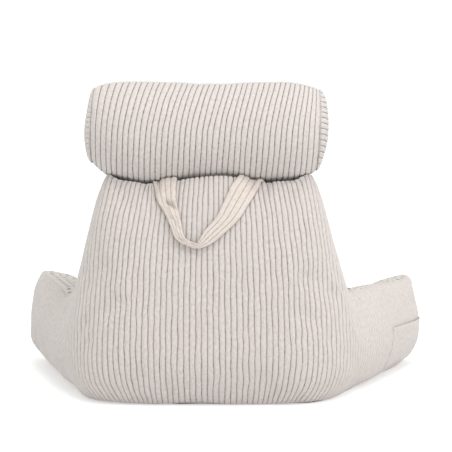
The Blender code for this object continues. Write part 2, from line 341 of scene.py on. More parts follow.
def places_of(mesh: bpy.types.Mesh) -> np.ndarray:
    """Reads where a mesh's points stand, a row for each."""
    flat = np.empty(len(mesh.vertices) * 3, dtype=np.float32)
    mesh.vertices.foreach_get("co", flat)
    return flat.reshape(-1, 3)


def close_ends(bm: bmesh.types.BMesh) -> None:
    """Merges a skin's doubles and closes its open ends."""
    bmesh.ops.remove_doubles(bm, verts=bm.verts[:], dist=WELD)
    bmesh.ops.holes_fill(bm, edges=[e for e in bm.edges if e.is_boundary], sides=0)


def one_cloth(points: np.ndarray) -> np.ndarray:
    """Gives every face of a grid of points the first cloth."""
    return np.full((points.shape[0] - 1, points.shape[1] - 1), Cloth.RIBBED.value)


def finished_piece(
    name: str, bm: bmesh.types.BMesh, materials: list[bpy.types.Material]
) -> bpy.types.Object:
    """Makes a piece of a mesh: doubles merged, faces outward, smooth, and dressed.

    Args:
        name: The piece's name.
        bm: Its mesh, which is freed.
        materials: Its materials, in the order of their slots.

    Returns:
        The piece, at the origin.
    """
    bmesh.ops.remove_doubles(bm, verts=bm.verts[:], dist=WELD)
    bmesh.ops.dissolve_degenerate(bm, edges=bm.edges[:], dist=0.5 * WELD)
    bmesh.ops.recalc_face_normals(bm, faces=bm.faces[:])
    mesh = mesh_from(name, bm)
    for material in materials:
        mesh.materials.append(material)
    mesh.shade_smooth()
    piece = show(name, mesh)
    mesh.calc_loop_triangles()
    LOG.info("%s: %d triangles", name, len(mesh.loop_triangles))
    return piece


@dataclass(frozen=True)
class Filling:
    """How hard a cushion's filling pushes on its cloth, as a pressure simulation."""

    # How far a point may move at most
    most: float
    pressure: float = 4.0
    stiffness: float = 12.0
    bending: float = 0.6
    mass: float = 0.25
    quality: int = 6
    frames: int = 20
    weld: float = 0.0002

    def swell(self, points: np.ndarray, held: np.ndarray) -> np.ndarray:
        """Lets the filling push on a closed skin, as cloth, and says how far each point went.

        Args:
            points: The skin, shaped (rows, columns, 3); its last row repeats its first.
            held: Whether each point is held by a seam, the ground or a neighbour.

        Returns:
            The movement of each point, no more than the most, in the shape of the points.
        """
        bm = bmesh.new()
        grid_skin(bm, points, points[..., :2], one_cloth(points))
        bmesh.ops.remove_doubles(bm, verts=bm.verts[:], dist=self.weld)
        bmesh.ops.recalc_face_normals(bm, faces=bm.faces[:])
        mesh = mesh_from("filled_skin", bm)
        skin = show("filled_skin", mesh)
        start = places_of(mesh)
        nearest = self.match(points.reshape(-1, 3), start)
        group = skin.vertex_groups.new(name="held")
        group.add([int(k) for k in np.unique(nearest[held.reshape(-1)])], 1.0, "REPLACE")
        cloth = skin.modifiers.new("cloth", "CLOTH")
        settings = cloth.settings
        settings.quality = self.quality
        settings.mass = self.mass
        settings.tension_stiffness = self.stiffness
        settings.compression_stiffness = self.stiffness
        settings.shear_stiffness = self.stiffness * 0.5
        settings.bending_stiffness = self.bending
        settings.use_pressure = True
        settings.uniform_pressure_force = self.pressure
        settings.vertex_group_mass = "held"
        settings.effector_weights.gravity = 0.0
        cloth.point_cache.frame_end = self.frames
        for number in range(1, self.frames + 1):
            bpy.context.scene.frame_set(number)
        graph = bpy.context.evaluated_depsgraph_get()
        moved = places_of(skin.evaluated_get(graph).data) - start
        bpy.data.objects.remove(skin)
        bpy.context.scene.frame_set(1)
        size = np.linalg.norm(moved, axis=1, keepdims=True)
        moved = moved * np.minimum(1.0, self.most / np.maximum(size, TINY))
        LOG.info("filling moved the cloth %.1f mm at most", 1000.0 * float(size.max()))
        return moved[nearest].reshape(points.shape)

    @staticmethod
    def match(points: np.ndarray, among: np.ndarray) -> np.ndarray:
        """Finds the number of the mesh point that stands at each given point."""
        tree = KDTree(len(among))
        for number, point in enumerate(among):
            tree.insert(point, number)
        tree.balance()
        return np.array([tree.find(point)[1] for point in points])


class Swelling:
    """How far the filling moved a cushion's cloth, at any place between those of a grid."""

    def __init__(
        self, moved: np.ndarray, columns: np.ndarray, rows: np.ndarray, rows_close: bool = False
    ) -> None:
        """Keeps the movement of the grid's points, and where its columns and rows stand."""
        self.field = Lattice(moved[:-1] if rows_close else moved, rows_close)
        self.columns = columns
        self.rows = rows

    def read(self, at_column: np.ndarray, at_row: np.ndarray) -> np.ndarray:
        """Reads the movement."""
        row = np.interp(at_row, self.rows, np.arange(len(self.rows)))
        column = np.interp(at_column, self.columns, np.arange(len(self.columns)))
        return self.field.read(row, column)


# Finishes


@dataclass(frozen=True)
class Plush:
    """Polyester plush: a matt, brushed pile of fine tufts, with a faint pale sheen."""

    name: str
    sheen: float = 0.22
    sheen_roughness: float = 0.5
    sheen_tint: str = "F1EEEC"
    roughness: float = 0.95
    ior: float = 1.45
    specular: float = 0.15
    # Pile tufts, really about 0.3 mm, are drawn at 1.2 mm so that they show
    tufts_per_metre: float = 820.0
    tuft_strength: float = 0.6
    tuft_depth: float = 0.0012

    def start(self) -> tuple[bpy.types.Material, Callable[..., bpy.types.NodeSocket]]:
        """Starts the material, and gives the function that adds a node to it."""
        material = bpy.data.materials.new(self.name)
        material.use_nodes = True
        return material, partial(add_node, material.node_tree)

    def finish(
        self, material: bpy.types.Material, colour: bpy.types.NodeSocket, under: bpy.types.NodeSocket
    ) -> bpy.types.Material:
        """Roughens the cloth with its pile tufts and sets the shader.

        Args:
            material: The material.
            colour: Its colour.
            under: The normal that the tufts stand on.

        Returns:
            The material.
        """
        tree = material.node_tree
        where = add_node(tree, "TexCoord", {}, "Object")
        scale = {"Scale": self.tufts_per_metre, "Detail": 3.0, "Roughness": 0.65}
        tufts = add_node(tree, "TexNoise", {"Vector": where, **scale})
        bump = {"Height": tufts, "Strength": self.tuft_strength, "Distance": self.tuft_depth}
        normal = add_node(tree, "Bump", {**bump, "Normal": under})
        shader = tree.nodes["Principled BSDF"]
        tree.links.new(colour, shader.inputs["Base Color"])
        tree.links.new(normal, shader.inputs["Normal"])
        constants = {
            "Roughness": self.roughness,
            "Metallic": 0.0,
            "IOR": self.ior,
            "Specular IOR Level": self.specular,
            "Sheen Weight": self.sheen,
            "Sheen Roughness": self.sheen_roughness,
            "Sheen Tint": hex_colour(self.sheen_tint),
        }
        for name, value in constants.items():
            shader.inputs[name].default_value = value
        return material


@dataclass(frozen=True)
class RibbedPlush(Plush):
    """Polyester plush corduroy, cut in wide wales: broad soft ribs with narrow grooves, darkened by
    their browner ground cloth and by painted shade.
    """

    name: str = "wide_wale_plush_corduroy"
    crest: str = "C6BFBD"
    # The grooves' colour: their browner ground cloth, darkened further with painted shade
    groove_and_shade: str = "857A72"
    shade: str = "B6AFAC"
    groove_half: float = 0.12
    clumps_per_metre: float = 190.0
    clump_depth: float = 0.0024
    handling_per_metre: float = 12.0

    def make(self) -> bpy.types.Material:
        """Makes the material from the piece's own chart, whose U counts wales and V is as long.

        Returns:
            The material.
        """
        material, node = self.start()
        chart = node("UVMap", {}, uv_map=UV_NAME)
        where = node("TexCoord", {}, "Object")
        wales = node("SeparateXYZ", {0: chart}, "X")
        aside = node("Math", {0: wales, 1: 0.5}, operation="PINGPONG")
        # The groove's tint: the pile stands open there and the browner ground cloth shows, and painted
        # shade darkens the groove further
        span = {"From Min": 0.0, "From Max": self.groove_half, "To Min": 1.0, "To Max": 0.0}
        groove_and_shade_share = node("MapRange", {"Value": aside, **span}, interpolation_type="SMOOTHSTEP")
        # The pile closes over the grooves here and there, over about 6 mm, and more on the arms, which
        # takes away the groove's tint and its painted shade
        patches = node("Mapping", {"Vector": chart, "Scale": (1.0, 1.5, 1.0)})
        patchy = node("TexNoise", {"Vector": patches, "Scale": 1.0, "Detail": 2.0})
        span = {"From Min": 0.30, "From Max": 0.62, "To Min": 0.35, "To Max": 1.0}
        groove_tint_shown = node("MapRange", {"Value": patchy, **span})
        closed = node("Attribute", {}, "Fac", attribute_name=CLOSED_NAME)
        groove_tint_kept = node("Math", {0: groove_tint_shown, 1: closed}, operation="SUBTRACT")
        groove_and_shade_share = node("Math", {0: groove_and_shade_share, 1: groove_tint_kept}, operation="MULTIPLY", use_clamp=True)
        # Pile that lies this way and that in patches of about 4 by 6 mm, so ribs are unevenly light
        along_rib = node("Mapping", {"Vector": chart, "Scale": (2.4, 1.5, 1.0)})
        brushed = node("TexNoise", {"Vector": along_rib, "Scale": 1.0, "Detail": 3.0})
        span = {"From Min": 0.32, "From Max": 0.70, "To Min": 0.0, "To Max": 1.0}
        brushed_share = node("MapRange", {"Value": brushed, **span})
        # Broad, faint tone from handling, over about 80 mm
        broad = node("TexNoise", {"Vector": where, "Scale": self.handling_per_metre, "Detail": 2.0})
        span = {"From Min": 0.35, "From Max": 0.7, "To Min": 0.0, "To Max": 0.5}
        broad_share = node("MapRange", {"Value": broad, **span})
        share = node("Math", {0: brushed_share, 1: broad_share}, operation="MAXIMUM")
        tones = {6: hex_colour(self.crest), 7: hex_colour(self.shade)}
        rib = node("Mix", {0: share, **tones}, 2, data_type="RGBA")
        # The grooves get their tint: the ground cloth's colour with painted shade
        colour = node("Mix", {0: groove_and_shade_share, 6: rib, 7: hex_colour(self.groove_and_shade)}, 2, data_type="RGBA")
        # The pile's clumps, about 5 mm long, which make the ribs' crests knobbly
        scale = {"Scale": self.clumps_per_metre, "Detail": 2.0, "Roughness": 0.5}
        clumps = node("TexNoise", {"Vector": where, **scale})
        bump = {"Height": clumps, "Strength": 0.5, "Distance": self.clump_depth}
        rough_rib = node("Bump", bump)
        return self.finish(material, colour, rough_rib)


@dataclass(frozen=True)
class DimpledPlush(Plush):
    """Short-pile polyester plush, embossed with staggered dimples: soft and even, with dark dots of
    painted shade in the dimples.
    """

    name: str = "dimpled_plush"
    sheen: float = 0.25
    tuft_strength: float = 0.5
    tuft_depth: float = 0.0010
    pile: str = "C6C0BC"
    worn: str = "B8B1AC"
    # The dimples' hollows, darkened as painted shade
    dimple_shade: str = "958A81"
    pitch: float = 0.0096
    dimple_pitch: float = 0.0170
    dimple_depth: float = 0.0035
    # How far apart the rows stand, as a share of the dimples' pitch
    row_share: float = 0.866

    def make(self) -> bpy.types.Material:
        """Makes the material from the piece's own chart, where 1 is one wale's pitch.

        Returns:
            The material.
        """
        material, node = self.start()
        where = node("TexCoord", {}, "Object")
        chart = node("UVMap", {}, uv_map=UV_NAME)
        # Staggered dimples, 17 mm apart and up to 9 mm across, whose hollows are darkened with painted
        # shade so that they read as soft dark dots
        wide, tall = self.pitch / self.dimple_pitch, self.pitch / (self.row_share * self.dimple_pitch)
        spread = node("Mapping", {"Vector": chart, "Scale": (wide, tall, 1.0)})
        across = node("SeparateXYZ", {0: spread}, "X")
        up = node("SeparateXYZ", {0: spread}, "Y")
        row = node("Math", {0: up}, operation="FLOOR")
        across = node("Math", {0: row, 1: 0.5, 2: across}, operation="MULTIPLY_ADD")
        off_across = node("Math", {0: across, 1: 0.5}, operation="PINGPONG")
        in_row = node("Math", {0: up, 1: 0.5}, operation="PINGPONG")
        rise = {1: -self.row_share, 2: 0.5 * self.row_share}
        off_up = node("Math", {0: in_row, **rise}, operation="MULTIPLY_ADD")
        away = node("CombineXYZ", {0: off_across, 1: off_up})
        distance = node("VectorMath", {0: away}, "Value", operation="LENGTH")
        # A dimple's floor and rim, as shares of the pitch from its middle
        span = {"From Min": 0.05, "From Max": 0.28, "To Min": 1.0, "To Max": 0.0}
        depth = node("MapRange", {"Value": distance, **span}, interpolation_type="SMOOTHSTEP")
        # Unevenly worn pile, over about 17 mm
        mottle = node("TexNoise", {"Vector": where, "Scale": 60.0, "Detail": 4.0})
        tones = {6: hex_colour(self.pile), 7: hex_colour(self.worn)}
        pile = node("Mix", {0: mottle, **tones}, 2, data_type="RGBA")
        # Painted shade in each dimple's hollow, by the same depth that dents the bump
        colour = node("Mix", {0: depth, 6: pile, 7: hex_colour(self.dimple_shade)}, 2, data_type="RGBA")
        bump = {"Height": depth, "Strength": 0.9, "Distance": self.dimple_depth}
        dented = node("Bump", bump, invert=True)
        return self.finish(material, colour, dented)


# The neck roll


@dataclass(frozen=True)
class RollRow:
    """A place along the neck roll's tube: its crest radius, and how far it sags."""

    along: float
    radius: float
    sag: float


@dataclass
class NeckRoll:
    """The neck roll: a ribbed tube with two round ribbed end panels, filled."""

    place: Vector
    rows: tuple[RollRow, ...] = (
        RollRow(-0.183, 0.0634, -0.0122),
        RollRow(-0.165, 0.0734, -0.0071),
        RollRow(-0.110, 0.0845, 0.0000),
        RollRow(-0.050, 0.0830, 0.0000),
        RollRow(0.000, 0.0805, 0.0000),
        RollRow(0.055, 0.0815, 0.0000),
        RollRow(0.110, 0.0835, 0.0000),
        RollRow(0.160, 0.0775, -0.0010),
        RollRow(0.183, 0.0680, -0.0040),
    )
    centre: Vector = Vector((-0.0014, 0.073, 0.4422))
    cap_bulge: float = 0.018
    # The share of that bulge at each end, and how much less it is high on the left, low on the right
    left_bulge: Pair = (0.84, 0.24)
    right_bulge: Pair = (1.0, 0.22)
    wales: int = 41
    wale_depth: float = 0.0024
    lean: float = 0.0035
    lean_over: float = 0.0150
    wander: float = 0.0007
    around: int = 132
    cap_wales: int = 15
    cap_columns: int = 30
    cap_radius: float = 0.07
    cap_reach: float = 0.985
    # For the left and the right end panel: its turn, its wales' depth, and how far its pile closes
    cap_tilts: Pair = (0.02, 0.14)
    cap_reliefs: Pair = (0.5, 0.85)
    cap_closed: Pair = (0.45, 0.0)
    tube_radius: float = 0.08
    wale_pitch: float = 0.0093
    seam_depth: float = 0.0022
    seam_width: float = 0.0046
    puckers_around: int = 34
    pucker_share: float = 0.45
    skew: float = 0.0022
    unevenness: float = 0.0011
    filling: Filling = Filling(most=0.004)

    def __post_init__(self) -> None:
        """Works out the tables that every point of the roll needs."""
        self.table = np.array([astuple(row) for row in self.rows])
        self.half_tube = self.rows[-1].along
        rng = np.random.default_rng(SEED + 1)
        self.swelling: Swelling | None = None
        self.uneven = soft_noise(rng, 9, 16, rows_close=True)
        self.wobble = soft_noise(rng, 18, 60, rows_close=True)
        self.puckers = soft_noise(rng, self.puckers_around, 2, rows_close=True)

    def radius_and_sag(self, along: np.ndarray) -> tuple[np.ndarray, np.ndarray]:
        """Gives the crest radius, which is 0 past the end panels, and the sag at places along."""
        flat = np.clip(np.ravel(along), self.table[0, 0], self.table[-1, 0])
        radius, sag = smooth_through(self.table[:, 0], self.table[:, 1:], flat).T
        past = unit((np.abs(np.ravel(along)) - self.half_tube) / self.cap_bulge)
        radius = radius * np.sqrt(1.0 - past**2)
        return radius.reshape(np.shape(along)), sag.reshape(np.shape(along))

    def point(self, station: np.ndarray, turn: np.ndarray, raised: np.ndarray) -> np.ndarray:
        """Gives points of the roll's skin.

        Args:
            station: -1 to 1 along the tube, on to -2 and 2 over the end panels to their middles.
            turn: The angle round the roll, 0 towards -Y and a quarter turn upwards.
            raised: How far the point stands off the smooth skin.

        Returns:
            The points, in the frame.
        """
        on_cap = np.abs(station) > 1.0
        share = np.where(on_cap, unit(2.0 - np.abs(station)), 1.0)
        tube_along = self.half_tube * np.clip(station, -1.0, 1.0)
        radius, sag = self.radius_and_sag(tube_along)
        high = np.sin(turn) * share
        left = self.left_bulge[0] - self.left_bulge[1] * ramp(high, -0.3, 0.6)
        right = self.right_bulge[0] - self.right_bulge[1] * ramp(-high, 0.2, 0.9)
        flatter = np.where(station < 0.0, left, right)
        out = np.sign(station) * self.cap_bulge * flatter * np.sqrt(unit(1.0 - share**2))
        seam_off = np.where(on_cap, (1.0 - share) * radius, self.half_tube - np.abs(tube_along))
        seam = hump(seam_off, 0.0, self.seam_width)
        gathered = turn / FULL_TURN * self.puckers_around
        pucker = self.puckers.read(gathered, (station > 0) * 1.0)[..., 0]
        sunk = seam * self.seam_depth * (1.0 + self.pucker_share * pucker)
        size = radius * share + np.where(on_cap, 0.25, 1.0) * (raised - sunk)
        proud = np.where(on_cap, np.sign(station) * (raised - 0.6 * sunk), 0.0)
        along = tube_along + out + self.skew * high + proud
        points = np.stack(
            [
                along + self.centre.x + self.place.x,
                -np.cos(turn) * size + self.centre.y + self.place.y,
                np.sin(turn) * size + self.centre.z - sag,
            ],
            axis=-1,
        )
        if self.swelling is not None:
            points = points + self.swelling.read(station, turn)
        return points

    def swell(self) -> None:
        """Lets the filling push on the roll's cloth, which its end seams and its seat hold."""
        over_cap = np.linspace(1.1, 2.0, 8)
        stations = np.concatenate([-over_cap[::-1], np.linspace(-1.0, 1.0, 61), over_cap])
        turns = np.linspace(0.0, FULL_TURN, 73)
        station, turn = np.meshgrid(stations, turns)
        points = self.point(station, turn, np.full_like(station, START_SMALLER))
        held = (np.abs(np.abs(station) - 1.0) < 0.01) | (np.sin(turn) < -0.86)
        moved = self.filling.swell(points, held)
        self.swelling = Swelling(moved, stations, turns, rows_close=True)

    def tube_patch(self, bm: bmesh.types.BMesh) -> None:
        """Adds the ribbed tube, whose wales lean a little to the right on their way up."""
        turns = np.linspace(0.0, FULL_TURN, self.around + 1)
        wale, turn = np.meshgrid(wale_places(self.wales), turns)
        station = 2.0 * wale / self.wales - 1.0
        window = 1.0 - np.abs(station) ** 5
        wobble = self.wobble.spread(turn / FULL_TURN, wale / self.wales)
        over = np.maximum(np.sin(turn), 0.0) ** 1.5
        leaning = (self.lean * np.sin(turn) + self.lean_over * over + self.wander * wobble) * window
        station = station + leaning / self.half_tube
        uneven = self.uneven.spread(turn / FULL_TURN, wale / self.wales)
        raised = self.wale_depth * wale_relief(wale) * (1.0 - 0.4 * np.abs(station) ** 12)
        raised = raised + self.unevenness * uneven * window
        points = self.point(station, turn, raised)
        chart = np.stack([wale, turn * self.tube_radius / self.wale_pitch], axis=-1)
        grid_skin(bm, points, chart, one_cloth(points))

    def cap_patch(self, bm: bmesh.types.BMesh, side: float) -> None:
        """Adds one end panel, a disc whose wales run level.

        Args:
            bm: The roll's mesh.
            side: -1 for the end towards -X, 1 for the other.
        """
        number = 1 if side > 0.0 else 0
        half = self.cap_wales / 2.0
        heights = wale_places(self.cap_wales)[:-1] / half - 1.0
        # More rows near the disc's top and foot, where its outline is nearly level
        heights = np.concatenate([heights, [0.9985, 1.0, 0.993, -0.993, -0.9985]])
        heights = np.unique(np.round(np.clip(heights, -1.0, 1.0), 5))
        level, chord = np.meshgrid(np.linspace(-1.0, 1.0, self.cap_columns + 1), heights)
        chord_half = np.sqrt(unit(1.0 - chord**2))
        disc_y, disc_z = level * chord_half * self.cap_reach, chord * self.cap_reach
        share = np.hypot(disc_y, disc_z)
        turn = (np.arctan2(disc_z, -disc_y) + self.cap_tilts[number]) % FULL_TURN
        wale = chord * half + half
        depth = self.wale_depth * self.cap_reliefs[number]
        raised = depth * wale_relief(wale) * ramp(1.0 - share, 0.0, 0.10)
        points = self.point(side * (2.0 - share), turn, raised)
        chart = np.stack([wale, disc_y * self.cap_radius / self.wale_pitch], axis=-1)
        closed = np.full(share.shape, self.cap_closed[number])
        grid_skin(bm, points, chart, one_cloth(points), closed)

    def build(self, ribbed: bpy.types.Material) -> bpy.types.Object:
        """Builds and dresses the roll.

        Args:
            ribbed: The corduroy that it is sewn from.

        Returns:
            The roll.
        """
        self.swell()
        bm = bmesh.new()
        self.tube_patch(bm)
        for side in (-1.0, 1.0):
            self.cap_patch(bm, side)
        bmesh.ops.remove_doubles(bm, verts=bm.verts[:], dist=WELD)
        middle = self.centre.x + self.place.x
        for side in (-1.0, 1.0):
            rims = [e for e in bm.edges if e.is_boundary and side * (e.verts[0].co.x - middle) > 0.0]
            bmesh.ops.bridge_loops(bm, edges=rims)
        piece = finished_piece("neck_roll_cloth", bm, [ribbed])
        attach(piece, "root")
        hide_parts("neck_roll")
        return piece


# The backrest cushion


@dataclass(frozen=True)
class Section:
    """One upright section of the backrest cushion.

    Where its outer and inner faces stand on the plan, its height, the thickness of its crown as a
    share of its base, how square that crown is, how far its outer face leans in at the top, how far
    both faces are tucked under at the foot, and how far its top slopes down into the seat.
    """

    outer_x: float
    outer_y: float
    inner_x: float
    inner_y: float
    height: float
    crown: float
    square: float
    lean: float
    tuck: float
    tilt: float


@dataclass(frozen=True)
class Fold:
    """A fold that runs down the back from the handle's ends, with its foot at a share of the panel."""

    across: float
    slope: float
    depth: float
    width: float
    foot: float


@dataclass(frozen=True)
class Dent:
    """A dent that the handle's sewn end presses into the panel's lip."""

    across: float
    depth: float
    width: float


@dataclass
class Backrest:
    """The filled backrest with its two arms: one cushion of ribbed and dimpled plush."""

    place: Vector
    roll: NeckRoll
    sections: tuple[Section, ...] = (
        Section(-0.3312, 0.418, -0.223, 0.428, 0.167, 0.78, 5.8, 0.0000, 0.033, 0.009),
        Section(-0.3272, 0.362, -0.219, 0.385, 0.1685, 0.78, 5.8, 0.0005, 0.035, 0.010),
        Section(-0.3105, 0.306, -0.205, 0.343, 0.166, 0.80, 5.8, 0.002, 0.036, 0.010),
        Section(-0.286, 0.222, -0.172, 0.267, 0.161, 0.82, 6.2, 0.006, 0.035, 0.010),
        Section(-0.257, 0.136, -0.145, 0.195, 0.162, 0.82, 5.4, 0.013, 0.036, 0.009),
        Section(-0.2400, 0.096, -0.141, 0.183, 0.208, 0.80, 4.2, 0.021, 0.027, 0.005),
        Section(-0.2245, 0.058, -0.137, 0.181, 0.289, 0.75, 3.6, 0.024, 0.021, 0.000),
        Section(-0.2065, 0.031, -0.133, 0.181, 0.355, 0.68, 3.8, 0.020, 0.016, 0.000),
        Section(-0.189, 0.012, -0.124, 0.183, 0.385, 0.62, 3.8, 0.015, 0.016, 0.000),
        Section(-0.154, -0.003, -0.108, 0.185, 0.385, 0.60, 3.2, 0.013, 0.016, 0.000),
        Section(-0.112, -0.009, -0.083, 0.187, 0.380, 0.58, 3.2, 0.015, 0.013, 0.000),
        Section(-0.060, -0.011, -0.045, 0.188, 0.388, 0.58, 3.2, 0.018, 0.013, 0.000),
        Section(0.000, -0.012, 0.000, 0.188, 0.394, 0.58, 3.2, 0.016, 0.013, 0.000),
        Section(0.045, -0.012, 0.036, 0.188, 0.393, 0.58, 3.2, 0.015, 0.011, 0.000),
        Section(0.095, -0.009, 0.075, 0.187, 0.383, 0.58, 3.2, 0.019, 0.009, 0.000),
        Section(0.152, -0.003, 0.112, 0.185, 0.387, 0.60, 3.2, 0.017, 0.008, 0.000),
        Section(0.192, 0.011, 0.129, 0.183, 0.389, 0.62, 3.8, 0.015, 0.009, 0.000),
        Section(0.2160, 0.029, 0.138, 0.182, 0.364, 0.68, 3.8, 0.020, 0.014, 0.000),
        Section(0.2348, 0.055, 0.145, 0.184, 0.303, 0.75, 3.6, 0.024, 0.019, 0.000),
        Section(0.2530, 0.091, 0.152, 0.190, 0.183, 0.80, 4.8, 0.012, 0.023, 0.008),
        Section(0.279, 0.134, 0.166, 0.205, 0.169, 0.82, 5.6, 0.011, 0.026, 0.012),
        Section(0.321, 0.220, 0.218, 0.280, 0.164, 0.82, 6.6, 0.003, 0.026, 0.013),
        Section(0.357, 0.295, 0.252, 0.345, 0.158, 0.80, 7.0, -0.001, 0.025, 0.014),
        Section(0.3812, 0.350, 0.273, 0.384, 0.1575, 0.78, 6.8, -0.003, 0.024, 0.014),
        Section(0.3872, 0.415, 0.281, 0.430, 0.157, 0.78, 6.8, -0.003, 0.024, 0.013),
    )
    folds: tuple[Fold, ...] = (
        Fold(-0.112, 0.10, 0.0042, 0.0075, 0.66),
        Fold(-0.088, 0.04, 0.0022, 0.0060, 0.74),
        Fold(0.088, -0.10, 0.0030, 0.0070, 0.70),
        Fold(0.118, -0.16, 0.0030, 0.0065, 0.72),
    )
    dents: tuple[Dent, ...] = (
        Dent(-0.070, 0.0040, 0.022),
        Dent(0.088, 0.0050, 0.021),
        Dent(-0.0925, 0.0085, 0.008),
    )
    # A faint level crease low on the left of the back: its depth, turn and spread, place and spread
    crease: tuple[float, ...] = (0.0016, 0.075, 0.018, -0.17, 0.07)
    # The heights between which a section passes from the arms' low form to the back's
    arm_height: Pair = (0.19, 0.28)
    base_squareness: float = 5.4
    base_sink: float = 0.008
    belly: float = 0.009
    # The powers that set the belly low and the crown's thinning late, and where the top's tilt starts
    belly_low: float = 0.75
    crown_late: float = 1.2
    tilt_from: float = 0.45
    lip_gap: float = 0.0064
    lip_ends: Pair = (0.165, 0.195)
    tuck_height: float = 0.060
    arm_end_round: float = 0.028
    arm_end_squareness: float = 5.0
    arm_end_middle: float = 0.44
    draw_in: float = 0.66
    inner_squareness: float = 4.8
    arm_seam: float = 0.300
    # The seat side's dimples are charted by this turn, and from the foot after this one
    seat_turn: float = 1.45
    over_top: float = 1.2
    foot_height: float = 0.02
    arm_seam_angle: float = 105.0
    back_seam_angle: float = 98.0
    seam_heights: Pair = (0.18, 0.34)
    base_seam_angle: float = 246.0
    wale_pitch: float = 0.0096
    # How the wales run: they gather to a place at the top, curl in at the foot and wander
    gather: float = 0.085
    gather_from: float = 0.45
    gather_towards: float = 0.046
    gather_ends: Pair = (0.15, 0.27)
    curl: float = 0.018
    curl_below: float = 0.24
    curl_from: Pair = (0.06, 0.19)
    curl_to: Pair = (0.24, 0.34)
    run_under: float = 0.012
    wander: float = 0.0008
    fine_wander: float = 0.0007
    wale_depth: float = 0.0026
    # The cloth is held still on the ground, and under the roll over these turns
    held_below: float = 0.004
    held_above: float = 0.30
    held_turns: Pair = (0.98, 1.45)
    # On both arms, and more on the right: how far the pile closes, and how far the wales fade
    closing: Pair = (0.25, 0.35)
    fading: Pair = (0.35, 0.25)
    arms_from: Pair = (0.26, 0.34)
    right_arm_from: Pair = (0.22, 0.32)
    thinning: float = 0.30
    panel_end: float = 0.009
    end_seam_depth: float = 0.0022
    end_seam_width: float = 0.0016
    cap_rings: int = 13
    # The turns of the skin's rows, which stand close where the lip and its seam bend sharply
    turns: tuple[float, ...] = (
        *(0.0, 0.008, 0.02, 0.04),
        *np.linspace(0.065, 0.93, 42),
        *(0.940, 0.948, 0.954, 0.959, 0.964, 0.969, 0.974),
        *(0.980, 0.988, 0.995, 1.0, 1.006, 1.013),
        *np.linspace(1.024, 1.97, 36),
        *(1.985, 2.0),
    )
    seam_depth: float = 0.0030
    seam_width: float = 0.0045
    unevenness: float = 0.0016
    lumpiness: float = 0.0005
    filling: Filling = Filling(most=0.005)

    def __post_init__(self) -> None:
        """Works out the tables that every point of the cushion needs."""
        table = np.array([astuple(section) for section in self.sections])
        knots = running_length(table[:, :2])
        self.rows = smooth_through(knots, table, np.linspace(0.0, knots[-1], 3000))
        self.lengths = running_length(self.rows[:, :2])
        self.end = float(self.lengths[-1])
        self.centre = float(np.interp(0.0, self.rows[:, 0], self.lengths))
        self.stations = np.linspace(self.arm_end_round, self.end - self.arm_end_round, 121)
        self.outer_angles, self.outer_arc, self.inner_angles, self.inner_arc = self.even_angles()
        rng = np.random.default_rng(SEED)
        self.swelling: Swelling | None = None
        self.wobble = soft_noise(rng, 15, 130)
        self.fine_wobble = soft_noise(rng, 32, 136)
        self.uneven = soft_noise(rng, 14, 24)
        self.lumps = soft_noise(rng, 34, 60)
        self.thin = soft_noise(rng, 62, 140)

    def row_at(self, length: np.ndarray) -> np.ndarray:
        """Reads the sections' columns at places along the outer panel."""
        return np.stack([np.interp(length, self.lengths, column) for column in self.rows.T], axis=-1)

    def bare_skin(self, length: np.ndarray, angle: np.ndarray) -> np.ndarray:
        """Gives points of the cushion's plain skin, in its own frame.

        Args:
            length: Along the outer panel, from the left arm's front end.
            angle: Round each upright section: 0 faces into the seat, a quarter turn is up.

        Returns:
            The points.
        """
        row = self.row_at(length)
        outer, inner = row[..., 0:2], row[..., 2:4]
        height, crown, square, lean, tuck, tilt = (row[..., k] for k in range(4, 10))
        cos, sin = np.cos(angle), np.sin(angle)
        on_arm = 1.0 - ramp(height, *self.arm_height)
        softer = square + (self.inner_squareness - square) * on_arm
        power = np.where(sin > 0.0, np.where(cos > 0.0, softer, square), self.base_squareness)
        half_height = 0.5 * (height + self.base_sink)
        up = 0.5 * (height - self.base_sink) + half_height * squared(sin, power)
        share = unit(up / height)
        thick = np.linalg.norm(inner - outer, axis=-1)
        tucked = tuck * (1.0 - unit(up / self.tuck_height)) ** 2
        face_out = tucked + lean * share - self.belly * np.sin(math.pi * share**self.belly_low)
        face_in = thick * (1.0 - (1.0 - crown) * share**self.crown_late)
        face_in = face_in + self.belly * np.sin(math.pi * share) - tucked
        middle, half = 0.5 * (face_in + face_out), 0.5 * (face_in - face_out)
        near = np.minimum(length, self.end - length) / self.arm_end_round
        shrink = bulged_end(near, self.arm_end_squareness)
        side = squared(cos, power)
        depth = middle + half * shrink * side
        up = up - tilt * side * ramp(share, self.tilt_from, 1.0)
        end_height = self.arm_end_middle * height
        up = np.maximum(end_height + (up - end_height) * shrink, 0.0)
        direction = (inner - outer) / thick[..., None]
        plan = outer + direction * depth[..., None]
        narrowed = plan[..., 0] * (1.0 - self.draw_in * up**2)
        return np.stack([narrowed, plan[..., 1], up], axis=-1)

